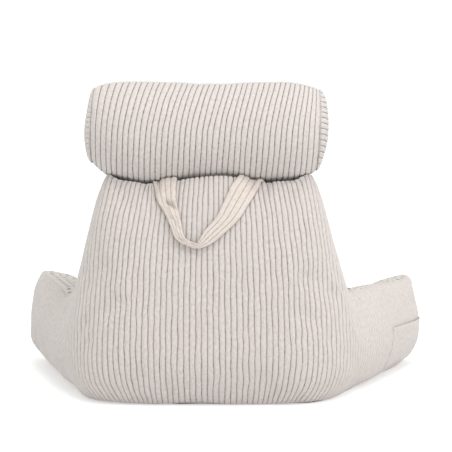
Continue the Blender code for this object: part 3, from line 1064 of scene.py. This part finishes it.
    def even_angles(self) -> tuple[np.ndarray, np.ndarray, np.ndarray, np.ndarray]:
        """Finds the angles that divide each section's outer part evenly, and the rest of it.

        Returns:
            The outer part's angles in radians, a row for each station, the outer part's length at each
            station, and the same two for the inner part.
        """
        share = np.linspace(0.0, 1.0, 161)[:-1]
        eased = share**3 / (share**3 + (1.0 - share) ** 3)
        angles = (90.0 * (np.arange(-2, 4)[:, None] + eased)).ravel()
        low, high = self.base_seam_angle - 360.0, self.base_seam_angle
        angles = np.concatenate([[low], angles[(angles > low) & (angles < high)], [high]])[::-1]
        angle, station = np.meshgrid(np.radians(angles), self.stations, indexing="ij")
        arcs = running_length(self.bare_skin(station, angle))
        tall = ramp(self.row_at(self.stations)[:, 4], *self.seam_heights)
        seam_angles = self.arm_seam_angle + (self.back_seam_angle - self.arm_seam_angle) * tall
        outer, outer_arc, inner, inner_arc = [], [], [], []
        for arc, seam_angle in zip(arcs.T, seam_angles):
            seam = float(np.interp(-seam_angle, -angles, arc))
            outer.append(np.radians(np.interp(np.linspace(0.0, seam, 161), arc, angles)))
            inner.append(np.radians(np.interp(np.linspace(seam, arc[-1], 321), arc, angles)))
            outer_arc.append(seam)
            inner_arc.append(arc[-1] - seam)
        return np.array(outer), np.array(outer_arc), np.array(inner), np.array(inner_arc)

    def angle_at(self, length: np.ndarray, turn: np.ndarray) -> np.ndarray:
        """Gives the angle at places on the skin.

        Args:
            length: Along the outer panel.
            turn: 0 at the base seam, 1 at the top seam, 2 at the base seam again.

        Returns:
            The angles, so that equal steps of the turn are equal lengths of cloth.
        """
        at = np.clip(length, self.stations[0], self.stations[-1])
        column = (at - self.stations[0]) / (self.stations[1] - self.stations[0])
        low = np.clip(np.floor(column).astype(int), 0, len(self.stations) - 2)
        part = column - low
        found = []
        for table, start in ((self.outer_angles, 0.0), (self.inner_angles, 1.0)):
            place = unit(turn - start) * (table.shape[1] - 1)
            under = np.clip(np.floor(place).astype(int), 0, table.shape[1] - 2)
            rest = place - under
            left = table[low, under] * (1.0 - rest) + table[low, under + 1] * rest
            right = table[low + 1, under] * (1.0 - rest) + table[low + 1, under + 1] * rest
            found.append(left * (1.0 - part) + right * part)
        return np.where(turn <= 1.0, found[0], found[1])

    def cloth_per_turn(self, length: np.ndarray, turn: np.ndarray) -> np.ndarray:
        """Gives the length of cloth from seam to seam, on the side where the turn is."""
        outer = np.interp(length, self.stations, self.outer_arc)
        return np.where(turn <= 1.0, outer, np.interp(length, self.stations, self.inner_arc))

    def from_seam(self, length: np.ndarray, turn: np.ndarray) -> np.ndarray:
        """Gives the length of cloth from the top seam: below it negative, over the top positive."""
        return (turn - 1.0) * self.cloth_per_turn(length, turn)

    def to_base_seam(self, length: np.ndarray, turn: np.ndarray) -> np.ndarray:
        """Gives the length of cloth to the base seam, the nearer way."""
        return np.where(turn <= 1.0, turn, 2.0 - turn) * self.cloth_per_turn(length, turn)

    def smooth_skin(self, length: np.ndarray, turn: np.ndarray) -> np.ndarray:
        """Gives points of the filled skin, without its ribs, in its own frame."""
        points = self.bare_skin(length, self.angle_at(length, turn))
        if self.swelling is not None:
            points = points + self.swelling.read(length, turn)
        return points

    def outward(self, length: np.ndarray, turn: np.ndarray) -> np.ndarray:
        """Gives the way out of the skin at places on it."""
        step, lift = 0.003, 0.008
        ahead = self.smooth_skin(np.minimum(length + step, self.end), turn)
        behind = self.smooth_skin(np.maximum(length - step, 0.0), turn)
        above = self.smooth_skin(length, np.minimum(turn + lift, 2.0))
        below = self.smooth_skin(length, np.maximum(turn - lift, 0.0))
        normal = np.cross(ahead - behind, above - below)
        size = np.linalg.norm(normal, axis=-1, keepdims=True)
        return normal / np.maximum(size, 1e-12)

    def skin(self, length: np.ndarray, turn: np.ndarray, raised: np.ndarray) -> np.ndarray:
        """Gives points of the finished skin, in the frame.

        Args:
            length: Along the outer panel.
            turn: 0 at the base seam, 1 at the top seam, 2 at the base seam again.
            raised: How far each point stands off the smooth skin.

        Returns:
            The points, clear of the neck roll and of the ground.
        """
        points = self.smooth_skin(length, turn)
        proud = raised + self.relief(length, turn)
        points = points + self.outward(length, turn) * proud[..., None]
        points = points + np.array([self.place.x, self.place.y, 0.0])
        points = self.clear_of_roll(points, self.channel(length, turn), raised)
        points[..., 2] = np.maximum(points[..., 2], 0.0)
        return points

    def channel(self, length: np.ndarray, turn: np.ndarray) -> np.ndarray:
        """Gives how far the cloth stays off the roll: the lip stands clear, and the top touches it."""
        on_back = 1.0 - ramp(np.abs(length - self.centre), *self.lip_ends)
        return PIECE_GAP + self.lip_gap * on_back * (1.0 - ramp(turn, 1.0, 1.04))

    def clear_of_roll(self, points: np.ndarray, gap: np.ndarray, raised: np.ndarray) -> np.ndarray:
        """Dents the cushion's top where the neck roll lies on it.

        Args:
            points: Points of the skin, in the frame.
            gap: How far the cushion stays off the roll at each.
            raised: How far each point stands off the smooth skin.

        Returns:
            The points, clear of the roll.
        """
        centre = self.roll.centre + self.roll.place
        radius, sag = self.roll.radius_and_sag(points[..., 0] - centre.x)
        axis = np.stack([np.full_like(sag, centre.y), centre.z - sag], axis=-1)
        away = points[..., 1:] - axis
        distance = np.linalg.norm(away, axis=-1)
        wanted = np.where(radius > 0.0, radius + np.maximum(gap - raised, ROLL_GAP), 0.0)
        cleared = points.copy()
        stretch = np.maximum(wanted / np.maximum(distance, TINY), 1.0)
        cleared[..., 1:] = axis + away * stretch[..., None]
        return cleared

    def relief(self, length: np.ndarray, turn: np.ndarray) -> np.ndarray:
        """Gives how far folds, creases and the filling's unevenness lift or sink the cloth."""
        across = length - self.centre
        calm = ramp(np.minimum(length, self.end - length), 0.004, 0.05)
        uneven = self.uneven.spread(turn / 2.0, length / self.end)
        lumps = self.lumps.spread(turn / 2.0, length / self.end)
        lift = (self.unevenness * uneven + self.lumpiness * lumps) * calm
        # The seams that join the ribbed cloth to the dimpled cloth, and the base
        top_seam = hump(self.from_seam(length, turn), 0.0, self.seam_width)
        base_seam = hump(self.to_base_seam(length, turn), 0.0, self.seam_width)
        lift = lift - self.seam_depth * (top_seam + 0.6 * base_seam) * calm
        for fold in self.folds:
            line = across - fold.across - fold.slope * (0.95 - turn)
            below_lip = ramp(turn, fold.foot, 0.93) * (turn <= 1.0)
            lift = lift - fold.depth * hump(line, 0.0, fold.width) * below_lip
        pressed = ramp(turn, 0.82, 0.93) * (1.0 - ramp(turn, 1.02, 1.06))
        for dent in self.dents:
            lift = lift - dent.depth * hump(across, dent.across, dent.width) * pressed
        depth, at_turn, half_turn, at_across, half_length = self.crease
        return lift - depth * hump(turn, at_turn, half_turn) * hump(across, at_across, half_length)

    def place_on_back(self, across: np.ndarray, up: np.ndarray) -> tuple[np.ndarray, np.ndarray]:
        """Finds places on the back panel, and on over its lip.

        Args:
            across: Places across the back, in the cushion's own frame.
            up: Their heights; past the lip's crest the height goes on as length of cloth.

        Returns:
            The length along the panel and the turn of each place.
        """
        turns = np.linspace(0.3, 1.1, 161)
        lengths = self.centre + np.linspace(-0.15, 0.15, 121)
        turn, length = np.meshgrid(turns, lengths, indexing="ij")
        points = self.smooth_skin(length, turn)
        heights = points[..., 2].copy()
        step = np.interp(self.centre, self.stations, self.outer_arc) * (turns[1] - turns[0])
        for row in range(1, len(turns)):
            past_crest = heights[row] - heights[row - 1] < 0.35 * step
            heights[row] = np.where(past_crest, heights[row - 1] + step, heights[row])
        found_length, found_turn = np.empty(np.shape(across)), np.empty(np.shape(across))
        for where, (x, z) in enumerate(zip(np.ravel(across), np.ravel(up))):
            column = len(lengths) // 2
            for _ in range(4):
                at_turn = np.interp(z, heights[:, column], turns)
                row = int(round(np.interp(at_turn, turns, np.arange(len(turns)))))
                at_length = np.interp(x, points[row, :, 0], lengths)
                column = int(round(np.interp(at_length, lengths, np.arange(len(lengths)))))
            found_length.flat[where], found_turn.flat[where] = at_length, at_turn
        return found_length, found_turn

    def swell(self) -> None:
        """Lets the filling push on the cushion's cloth, which its seams, roll and ground hold."""
        near = bulged_end(np.linspace(0.0, 1.0, 9), 2.0)
        ends = self.arm_end_round * bulged_end(1.0 - near, self.arm_end_squareness)
        ends = np.unique(np.round(np.clip(ends, 0.0, self.arm_end_round), 6))
        between = np.linspace(self.arm_end_round, self.end - self.arm_end_round, 85)[1:-1]
        stations = np.concatenate([ends, between, (self.end - ends)[::-1]])
        turns = np.concatenate([np.linspace(0.0, 1.0, 25), np.linspace(1.0, 2.0, 37)[1:]])
        length, turn = np.meshgrid(stations, turns)
        near_end = np.minimum(length, self.end - length)
        points = self.skin(length, turn, START_SMALLER * ramp(near_end, 0.0, 0.01))
        seam = (np.abs(turn - 1.0) < 1e-6) | (turn < 1e-6) | (turn > 2.0 - 1e-6)
        on_ground = points[..., 2] < self.held_below
        from_turn, to_turn = self.held_turns
        under_roll = (points[..., 2] > self.held_above) & (turn > from_turn) & (turn < to_turn)
        held = seam | on_ground | under_roll | (near_end < PIECE_GAP)
        self.swelling = Swelling(self.filling.swell(points, held), stations, turns)

    def wale_flow(self, length: np.ndarray, turn: np.ndarray) -> np.ndarray:
        """Gives how far the wales run aside from straight up, along the panel.

        Args:
            length: Where each wale starts, along the outer panel.
            turn: How far up it, 0 at the base seam and 1 at the top seam.

        Returns:
            The shift along the panel: wales gather towards the top and curl in at the lower corners.
        """
        across = length - self.centre
        up = unit(turn)
        inside = 1.0 - ramp(np.abs(across), *self.gather_ends)
        gather = self.gather * unit((up - self.gather_from) / (1.0 - self.gather_from)) ** 2
        shift = -gather * (across - self.gather_towards) * inside
        corner = ramp(np.abs(across), *self.curl_from) * (1.0 - ramp(np.abs(across), *self.curl_to))
        curl = self.curl * unit(1.0 - up / self.curl_below) ** 2
        shift = shift - np.sign(across) * curl * corner
        # The ribs left of the handle's left end run in under it
        shift = shift - self.run_under * hump(across, -0.090, 0.020) * ramp(up, 0.82, 0.97)
        wobble = self.wander * self.wobble.spread(up, length / self.end)
        wobble = wobble + self.fine_wander * self.fine_wobble.spread(up, length / self.end)
        return shift + wobble * ramp(up, 0.0, 0.06)

    def dimpled_chart(self, points: np.ndarray, turns: np.ndarray, fan: np.ndarray) -> np.ndarray:
        """Charts the plush of the seat side, so that its dimples stand in level, even rows.

        Args:
            points: The skin's places, shaped (turns, columns, 3).
            turns: The turn of each row.
            fan: How far each row follows the top seam's length and not the seat side's, 0 to 1.

        Returns:
            The chart at each point, in wale pitches: along the seat side, and up from its foot.
        """
        steps = np.linalg.norm(np.diff(points[..., :2], axis=1), axis=-1)
        along = np.concatenate([np.zeros((len(turns), 1)), np.cumsum(steps, axis=1)], axis=1)
        along = along - along[:, [points.shape[1] // 2]]
        inner_run = along[int(np.argmin(np.abs(turns - self.seat_turn)))]
        seam_run = along[int(np.argmin(np.abs(turns - 1.0)))]
        climb = running_length(points)
        low = (points[..., 2] < self.foot_height) & (turns > self.over_top)[:, None]
        first = np.argmax(low, axis=0)
        numbers = np.arange(points.shape[1])
        above, below = points[first - 1, numbers, 2], points[first, numbers, 2]
        share = unit((above - self.foot_height) / np.maximum(above - below, 1e-6))
        start, stop = climb[first - 1, numbers], climb[first, numbers]
        up = start + share * (stop - start) - climb
        run = inner_run + (seam_run - inner_run) * fan[:, None]
        return np.stack([run, up], axis=-1) / self.wale_pitch

    def columns(self) -> tuple[np.ndarray, np.ndarray]:
        """Gives where the skin's columns stand along the panel, and each one's place in wales."""
        span = self.end - 2.0 * self.panel_end
        places = wale_places(round(span / self.wale_pitch))
        panel = self.panel_end + span * places / places[-1]
        square = self.arm_end_squareness
        rim = float(bulged_end(np.array(self.panel_end / self.arm_end_round), square))
        shares = np.linspace(0.0, rim, self.cap_rings + 1)[:-1]
        cap = self.arm_end_round * (1.0 - (1.0 - shares**square) ** (1.0 / square))
        last_wale = np.full(len(cap), places[-1])
        wales = np.concatenate([np.zeros(len(cap)), places, last_wale])
        return np.concatenate([cap, panel, (self.end - cap)[::-1]]), wales

    def ribs(self, length: np.ndarray, turn: np.ndarray, wale: np.ndarray) -> np.ndarray:
        """Gives how far the ribs' relief stands off the skin, fading towards seams and arms.

        Args:
            length: Along the outer panel.
            turn: 0 at the base seam, 1 at the top seam, 2 at the base seam again.
            wale: The place in wales.

        Returns:
            The relief, 0 on the crests.
        """
        arms, right_arm = self.on_arms(length)
        depth = 1.0 - self.fading[0] * arms - self.fading[1] * right_arm
        thin = self.thin.read(turn * 30.0, wale)[..., 0]
        depth = self.wale_depth * depth * (1.0 + self.thinning * thin)
        depth = depth * ramp(turn, 0.0, 0.03) * (1.0 - 0.5 * ramp(turn, 0.985, 1.0))
        return depth * wale_relief(wale)

    def on_arms(self, length: np.ndarray) -> tuple[np.ndarray, np.ndarray]:
        """Gives how far places lie on either arm, and how far on the right one, 0 to 1."""
        across = length - self.centre
        return ramp(np.abs(across), *self.arms_from), ramp(across, *self.right_arm_from)

    def build(self, ribbed: bpy.types.Material, dimpled: bpy.types.Material) -> bpy.types.Object:
        """Builds and dresses the cushion.

        Args:
            ribbed: The corduroy of its outer panel.
            dimpled: The plush of its tops, seat side and base.

        Returns:
            The cushion.
        """
        self.swell()
        columns, wales = self.columns()
        turns = np.array(self.turns)
        base_length, turn = np.meshgrid(columns, turns)
        wale, _ = np.meshgrid(wales, turns)
        near_end = np.minimum(base_length, self.end - base_length)
        # The wales' flow goes on over the lip, and starts again under the base, so no face is torn
        inside = ramp(near_end, self.panel_end, self.panel_end + 0.05)
        fade_over = np.where(turn <= 1.0, 1.0, 1.0 - ramp(turn, 1.0, 1.2))
        fade_back = ramp(turn, 1.8, 2.0)
        flow_turn = np.where(turn <= 1.0, turn, np.where(turn < 1.5, 1.0, 0.0))
        flow = self.wale_flow(base_length, flow_turn)
        length = base_length + flow * inside * np.maximum(fade_over, fade_back)
        on_panel = (turn <= 1.0) & (near_end >= self.panel_end - TINY)
        edge = -self.end_seam_depth * hump(near_end, self.panel_end, self.end_seam_width)
        raised = np.where(on_panel, self.ribs(length, turn, wale), 0.0) + edge
        points = self.skin(length, turn, raised)
        charts = {
            Chart.RIBBED: np.stack([wale, self.from_seam(length, turn) / self.wale_pitch], axis=-1),
            Chart.SEAT_BACK: self.dimpled_chart(points, turns, 1.0 - ramp(turns, 1.0, 1.25)),
            Chart.ARM_INSIDE: self.dimpled_chart(points, turns, np.zeros_like(turns)),
            Chart.END_FACE: points[..., [0, 2]] / self.wale_pitch,
        }
        face_turn = 0.5 * (turn[:-1, :-1] + turn[1:, :-1])
        face_end = np.minimum(near_end[:-1, :-1], near_end[:-1, 1:])
        from_centre = np.abs(0.5 * (base_length[:-1, :-1] + base_length[:-1, 1:]) - self.centre)
        on_end = face_end < self.panel_end - TINY
        ribbed_face = (face_turn < 1.0) & ~on_end
        seat = np.where(from_centre < self.arm_seam, Chart.SEAT_BACK.value, Chart.ARM_INSIDE.value)
        chart_of_face = np.where(ribbed_face, Chart.RIBBED.value, seat)
        chart_of_face = np.where(on_end, Chart.END_FACE.value, chart_of_face)
        cloth = np.where(ribbed_face, Cloth.RIBBED.value, Cloth.DIMPLED.value)
        arms, right_arm = self.on_arms(length)
        closed = self.closing[0] * arms + self.closing[1] * right_arm
        stack = np.stack([charts[chart] for chart in Chart])
        bm = bmesh.new()
        grid_skin(bm, points, stack, cloth, closed, chart_of_face)
        piece = finished_piece("backrest_cloth", bm, [ribbed, dimpled])
        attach(piece, "root")
        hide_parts("backrest")
        return piece


# The handle


@dataclass(frozen=True)
class StrapRow:
    """A place along the handle: its outer and inner edge across and up the back, and its thickness."""

    outer_x: float
    outer_z: float
    inner_x: float
    inner_z: float
    thick: float


@dataclass
class Handle:
    """The handle: a corduroy strap, four wales wide, that hangs in a V and folds narrow at its foot."""

    backrest: Backrest
    rows: tuple[StrapRow, ...] = (
        StrapRow(-0.0874, 0.3830, -0.0464, 0.3880, 0.0028),
        StrapRow(-0.0866, 0.3720, -0.0461, 0.3745, 0.0042),
        StrapRow(-0.0842, 0.3590, -0.0480, 0.3620, 0.0050),
        StrapRow(-0.0802, 0.3405, -0.0473, 0.3435, 0.0058),
        StrapRow(-0.0744, 0.3275, -0.0453, 0.3275, 0.0066),
        StrapRow(-0.0664, 0.3148, -0.0413, 0.3116, 0.0074),
        StrapRow(-0.0598, 0.3025, -0.0377, 0.2977, 0.0080),
        StrapRow(-0.0544, 0.2897, -0.0360, 0.2869, 0.0084),
        StrapRow(-0.0484, 0.2760, -0.0338, 0.2808, 0.0086),
        StrapRow(-0.0405, 0.2695, -0.0320, 0.2765, 0.0084),
        StrapRow(-0.0310, 0.2647, -0.0262, 0.2728, 0.0080),
        StrapRow(-0.0199, 0.2609, -0.0175, 0.2696, 0.0080),
        StrapRow(-0.0100, 0.2602, -0.0127, 0.2698, 0.0080),
        StrapRow(0.0003, 0.2633, -0.0096, 0.2755, 0.0078),
        StrapRow(0.0157, 0.2722, -0.0014, 0.2896, 0.0070),
        StrapRow(0.0317, 0.2861, 0.0087, 0.3003, 0.0062),
        StrapRow(0.0440, 0.2969, 0.0178, 0.3120, 0.0058),
        StrapRow(0.0553, 0.3092, 0.0252, 0.3275, 0.0054),
        StrapRow(0.0656, 0.3243, 0.0323, 0.3427, 0.0050),
        StrapRow(0.0759, 0.3402, 0.0402, 0.3585, 0.0046),
        StrapRow(0.0910, 0.3672, 0.0526, 0.3760, 0.0040),
        StrapRow(0.0980, 0.3850, 0.0595, 0.3940, 0.0020),
    )
    wales: int = 4
    wale_depth: float = 0.0015
    wale_pitch: float = 0.0093
    steps: int = 130
    stand_off: float = 0.0006
    thinnest: float = 0.0012
    lumpiness: float = 0.0005
    # The crumple in the left leg: how far down it lies, its slant, and the hollow above it
    crumple_at: float = 0.062
    crumple_slant: float = 0.024
    crumple_width: float = 0.0042
    crumple_depth: float = 0.0074
    hollow_above: float = 0.012
    hollow_width: float = 0.0055
    hollow_share: float = 0.7
    # Where the strap is bunched, and how much more it is lumpy there
    bunched_lumpiness: float = 0.0016
    bunched_from: Pair = (0.045, 0.062)
    bunched_to: Pair = (0.125, 0.150)
    flat: Pair = (0.040, 0.31)

    def crumple(self, along: np.ndarray, share: np.ndarray) -> np.ndarray:
        """Gives the crumple half-way down the left leg, whose inner half folds over on itself."""
        down = along - self.crumple_at
        fold = hump(down - self.crumple_slant * (share - 0.75), 0.0, self.crumple_width)
        hollow = hump(down + self.hollow_above, 0.0, self.hollow_width)
        return fold * ramp(share, 0.25, 0.6) - self.hollow_share * hollow * ramp(share, 0.35, 0.8)

    def build(self, ribbed: bpy.types.Material) -> bpy.types.Object:
        """Builds and dresses the strap, its outer side ribbed and its back plain against the panel.

        Args:
            ribbed: The corduroy that it is cut from.

        Returns:
            The strap.
        """
        table = np.array([astuple(row) for row in self.rows])
        knots = running_length(0.5 * (table[:, 0:2] + table[:, 2:4]))
        run = smooth_through(knots, table, np.linspace(0.0, knots[-1], self.steps))
        along = running_length(0.5 * (run[:, 0:2] + run[:, 2:4]))
        wales = wale_places(self.wales)
        share = wales / self.wales
        edge = np.abs(2.0 * share - 1.0)
        back = np.linspace(1.0, 0.0, 12)[1:-1]

        def ring(front: np.ndarray, behind: np.ndarray) -> np.ndarray:
            """Closes the strap's ring: its front, its back, and its first point again."""
            return np.concatenate([front, behind, front[:1]])[:, None]

        flush = np.zeros_like(back)
        ring_share = ring(share, back)
        on_front = ring(np.ones_like(share), flush)
        full = ring(np.sqrt(unit(1.0 - edge**7)), flush)
        relief = ring(wale_relief(wales) * (edge < 0.999), flush)
        ring_wale = ring(wales, flush + 0.5)
        outer_x, outer_z, inner_x, inner_z, thick = (run[:, k][None, :] for k in range(5))
        x = outer_x + (inner_x - outer_x) * ring_share
        z = outer_z + (inner_z - outer_z) * ring_share
        lumps = soft_noise(np.random.default_rng(SEED + 2), 7, 60)
        bunched = ramp(along, *self.bunched_from) * (1.0 - ramp(along, *self.bunched_to))
        lump = lumps.read(ring_share * 6.0, along[None, :] / along[-1] * 58.0)[..., 0]
        lift = thick * (0.30 + 0.70 * full) + self.wale_depth * relief * (1.0 - 0.4 * bunched)
        lift = lift + (self.lumpiness + self.bunched_lumpiness * bunched) * lump
        lift = lift - self.crumple_depth * self.crumple(along, ring_share)
        length, turn = self.backrest.place_on_back(x, z)
        raised = self.stand_off + np.maximum(lift, self.thinnest) * on_front
        points = self.backrest.skin(length, turn, raised)
        chart = np.stack(np.broadcast_arrays(ring_wale, along / self.wale_pitch), axis=-1)
        bm = bmesh.new()
        grid_skin(bm, points, chart, one_cloth(points))
        close_ends(bm)
        piece = finished_piece("handle_strap", bm, [ribbed])
        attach(piece, "root")
        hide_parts("handle")
        return piece


# The side pocket


@dataclass
class SidePocket:
    """The patch pocket low on the right arm's outer face: a hemmed piece of the same corduroy."""

    backrest: Backrest
    start: float = 0.212
    end: float = 0.030
    foot: float = 0.018
    hem: float = 0.0868
    hem_rise: float = 0.008
    thick: float = 0.0014
    thinnest: float = 0.0002
    stand_off: float = 0.0007
    # How far in from each sewn edge the patch comes to its thickness, the foot's as a share
    upright_edge: float = 0.020
    far_edge: float = 0.004
    foot_share: float = 0.05
    hem_width: float = 0.012
    hem_raised: float = 0.0006
    stitch_depth: float = 0.0010
    stitch_width: float = 0.0012
    wale_depth: float = 0.0005
    closed: float = 0.6
    columns: int = 117
    rows: int = 26
    rows_behind: int = 9
    flat: Pair = (0.182, 0.074)

    def build(self, ribbed: bpy.types.Material) -> bpy.types.Object:
        """Builds and dresses the pocket.

        Args:
            ribbed: The corduroy that it is cut from.

        Returns:
            The pocket.
        """
        form = self.backrest
        lengths = np.linspace(form.end - self.start, form.end - self.end, self.columns)
        rise = np.linspace(1.0, 0.0, self.columns)
        turns = np.linspace(0.0, 0.9, 90)
        share = np.concatenate(
            [np.linspace(0.0, 1.0, self.rows), np.linspace(1.0, 0.0, self.rows_behind)]
        )
        outer = np.concatenate([np.ones(self.rows), np.zeros(self.rows_behind)])
        turn = np.empty((len(share), self.columns))
        for number, length in enumerate(lengths):
            ups = form.smooth_skin(np.full_like(turns, length), turns)[:, 2]
            top = self.hem + self.hem_rise * rise[number]
            turn[:, number] = np.interp(self.foot + (top - self.foot) * share, ups, turns)
        length = np.broadcast_to(lengths, turn.shape)
        width = self.start - self.end
        from_upright, from_far = (1.0 - rise) * width, rise * width
        sewn = ramp(from_upright, 0.0, self.upright_edge) * np.sqrt(unit(from_far / self.far_edge))
        sewn = sewn[None, :] * np.sqrt(unit(share / self.foot_share))[:, None]
        wale = (length - form.panel_end) / form.wale_pitch
        below_hem = (1.0 - share)[:, None] * (self.hem - self.foot)
        band = 1.0 - ramp(below_hem, self.hem_width - 0.001, self.hem_width + 0.001)
        stitched = hump(below_hem, self.hem_width, self.stitch_width)
        relief = self.wale_depth * wale_relief(wale) * (1.0 - band) + self.hem_raised * band
        relief = relief - self.stitch_depth * stitched
        raised = self.stand_off * sewn + outer[:, None] * (self.thick * sewn + relief)
        points = form.skin(length, turn, np.maximum(raised, self.thinnest))
        chart = np.stack([wale, form.from_seam(length, turn) / form.wale_pitch], axis=-1)
        bm = bmesh.new()
        grid_skin(bm, points, chart, one_cloth(points), np.full(turn.shape, self.closed))
        close_ends(bm)
        piece = finished_piece("side_pocket_cloth", bm, [ribbed])
        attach(piece, "root")
        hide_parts("side_pocket")
        return piece


# The stage


def aim_at(holder: bpy.types.Object, place: Triple, target: Triple) -> None:
    """Puts a light or the camera in its place and turns it to its target."""
    holder.location = place
    holder.rotation_euler = (Vector(target) - holder.location).to_track_quat("-Z", "Y").to_euler()


@dataclass(frozen=True)
class Softbox:
    """A square studio light: its name, place, size in metres, power in watts and tint."""

    name: str
    place: Triple
    size: float
    power: float
    tint: Triple
    target: Triple = (0.0, 0.0, 0.25)

    def light(self) -> None:
        """Sets the light up."""
        light = bpy.data.lights.new(self.name, "AREA")
        light.color = self.tint
        light.size = self.size
        light.energy = self.power
        aim_at(show(self.name, light), self.place, self.target)


def set_stage() -> None:
    """Lays a plain pale floor and sets soft studio light, brightest from the right."""
    bm = bmesh.new()
    bmesh.ops.create_circle(bm, cap_ends=True, segments=96, radius=40.0)
    mesh = mesh_from("floor", bm)
    floor = show("floor", mesh)
    material = bpy.data.materials.new("matt_white_floor")
    material.use_nodes = True
    # Matt white that glows a little, so the ground looks as pale and even as paper
    shader = material.node_tree.nodes["Principled BSDF"]
    constants = {
        "Base Color": hex_colour("DCDCDC"),
        "Roughness": 0.9,
        "Specular IOR Level": 0.1,
        "Emission Color": hex_colour("FFFFFF"),
        "Emission Strength": 0.35,
    }
    for name, value in constants.items():
        shader.inputs[name].default_value = value
    mesh.materials.append(material)
    Softbox("key_softbox", (2.0, -1.4, 1.8), 1.0, 17.0, (1.0, 0.98, 0.975)).light()
    Softbox("top_softbox", (0.2, -1.3, 2.6), 1.3, 35.0, (1.0, 0.945, 0.94)).light()
    world = bpy.data.worlds.new("white_room")
    world.use_nodes = True
    background = world.node_tree.nodes["Background"]
    background.inputs["Color"].default_value = (0.965, 1.0, 0.975, 1.0)
    background.inputs["Strength"].default_value = 1.045
    bpy.context.scene.world = world
    bpy.context.scene.view_settings.view_transform = "Standard"


def set_camera() -> None:
    """Sets the camera at the photograph's place: level with the roll, square on, a long lens."""
    camera = bpy.data.cameras.new("camera")
    camera.lens = 107.3
    camera.sensor_width = 36.0
    holder = show("camera", camera)
    aim_at(holder, (0.0, -2.348, 0.499), (0.0, -0.15, 0.29))
    bpy.context.scene.camera = holder


def main() -> None:
    """Loads the frame, builds each piece in order, and sets the camera and the stage."""
    logging.basicConfig(level=logging.INFO, format="%(name)s: %(message)s")
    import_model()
    set_camera()
    low, high = (Vector(corner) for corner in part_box("neck_roll"))
    place = 0.5 * (low + high) - NeckRoll.centre
    place.z = 0.0
    roll = NeckRoll(place)
    ribbed = RibbedPlush().make()
    dimpled = DimpledPlush().make()
    # The roll's grooves are darker still, with more painted shade
    roll.build(RibbedPlush(name="roll_plush_corduroy", groove_and_shade="5C5149").make())
    LOG.info("neck roll done")
    backrest = Backrest(place, roll)
    backrest.build(ribbed, dimpled)
    LOG.info("backrest done")
    # The strap's own colours; its grooves' tint is paler, but still partly painted shade
    strap = RibbedPlush(
        name="strap_plush_corduroy", crest="CDC4BF", groove_and_shade="9A8D84", shade="BEB4AC"
    )
    Handle(backrest).build(strap.make())
    SidePocket(backrest).build(ribbed)
    LOG.info("handle and pocket done")
    set_stage()


if __name__ == "__main__":
    main()
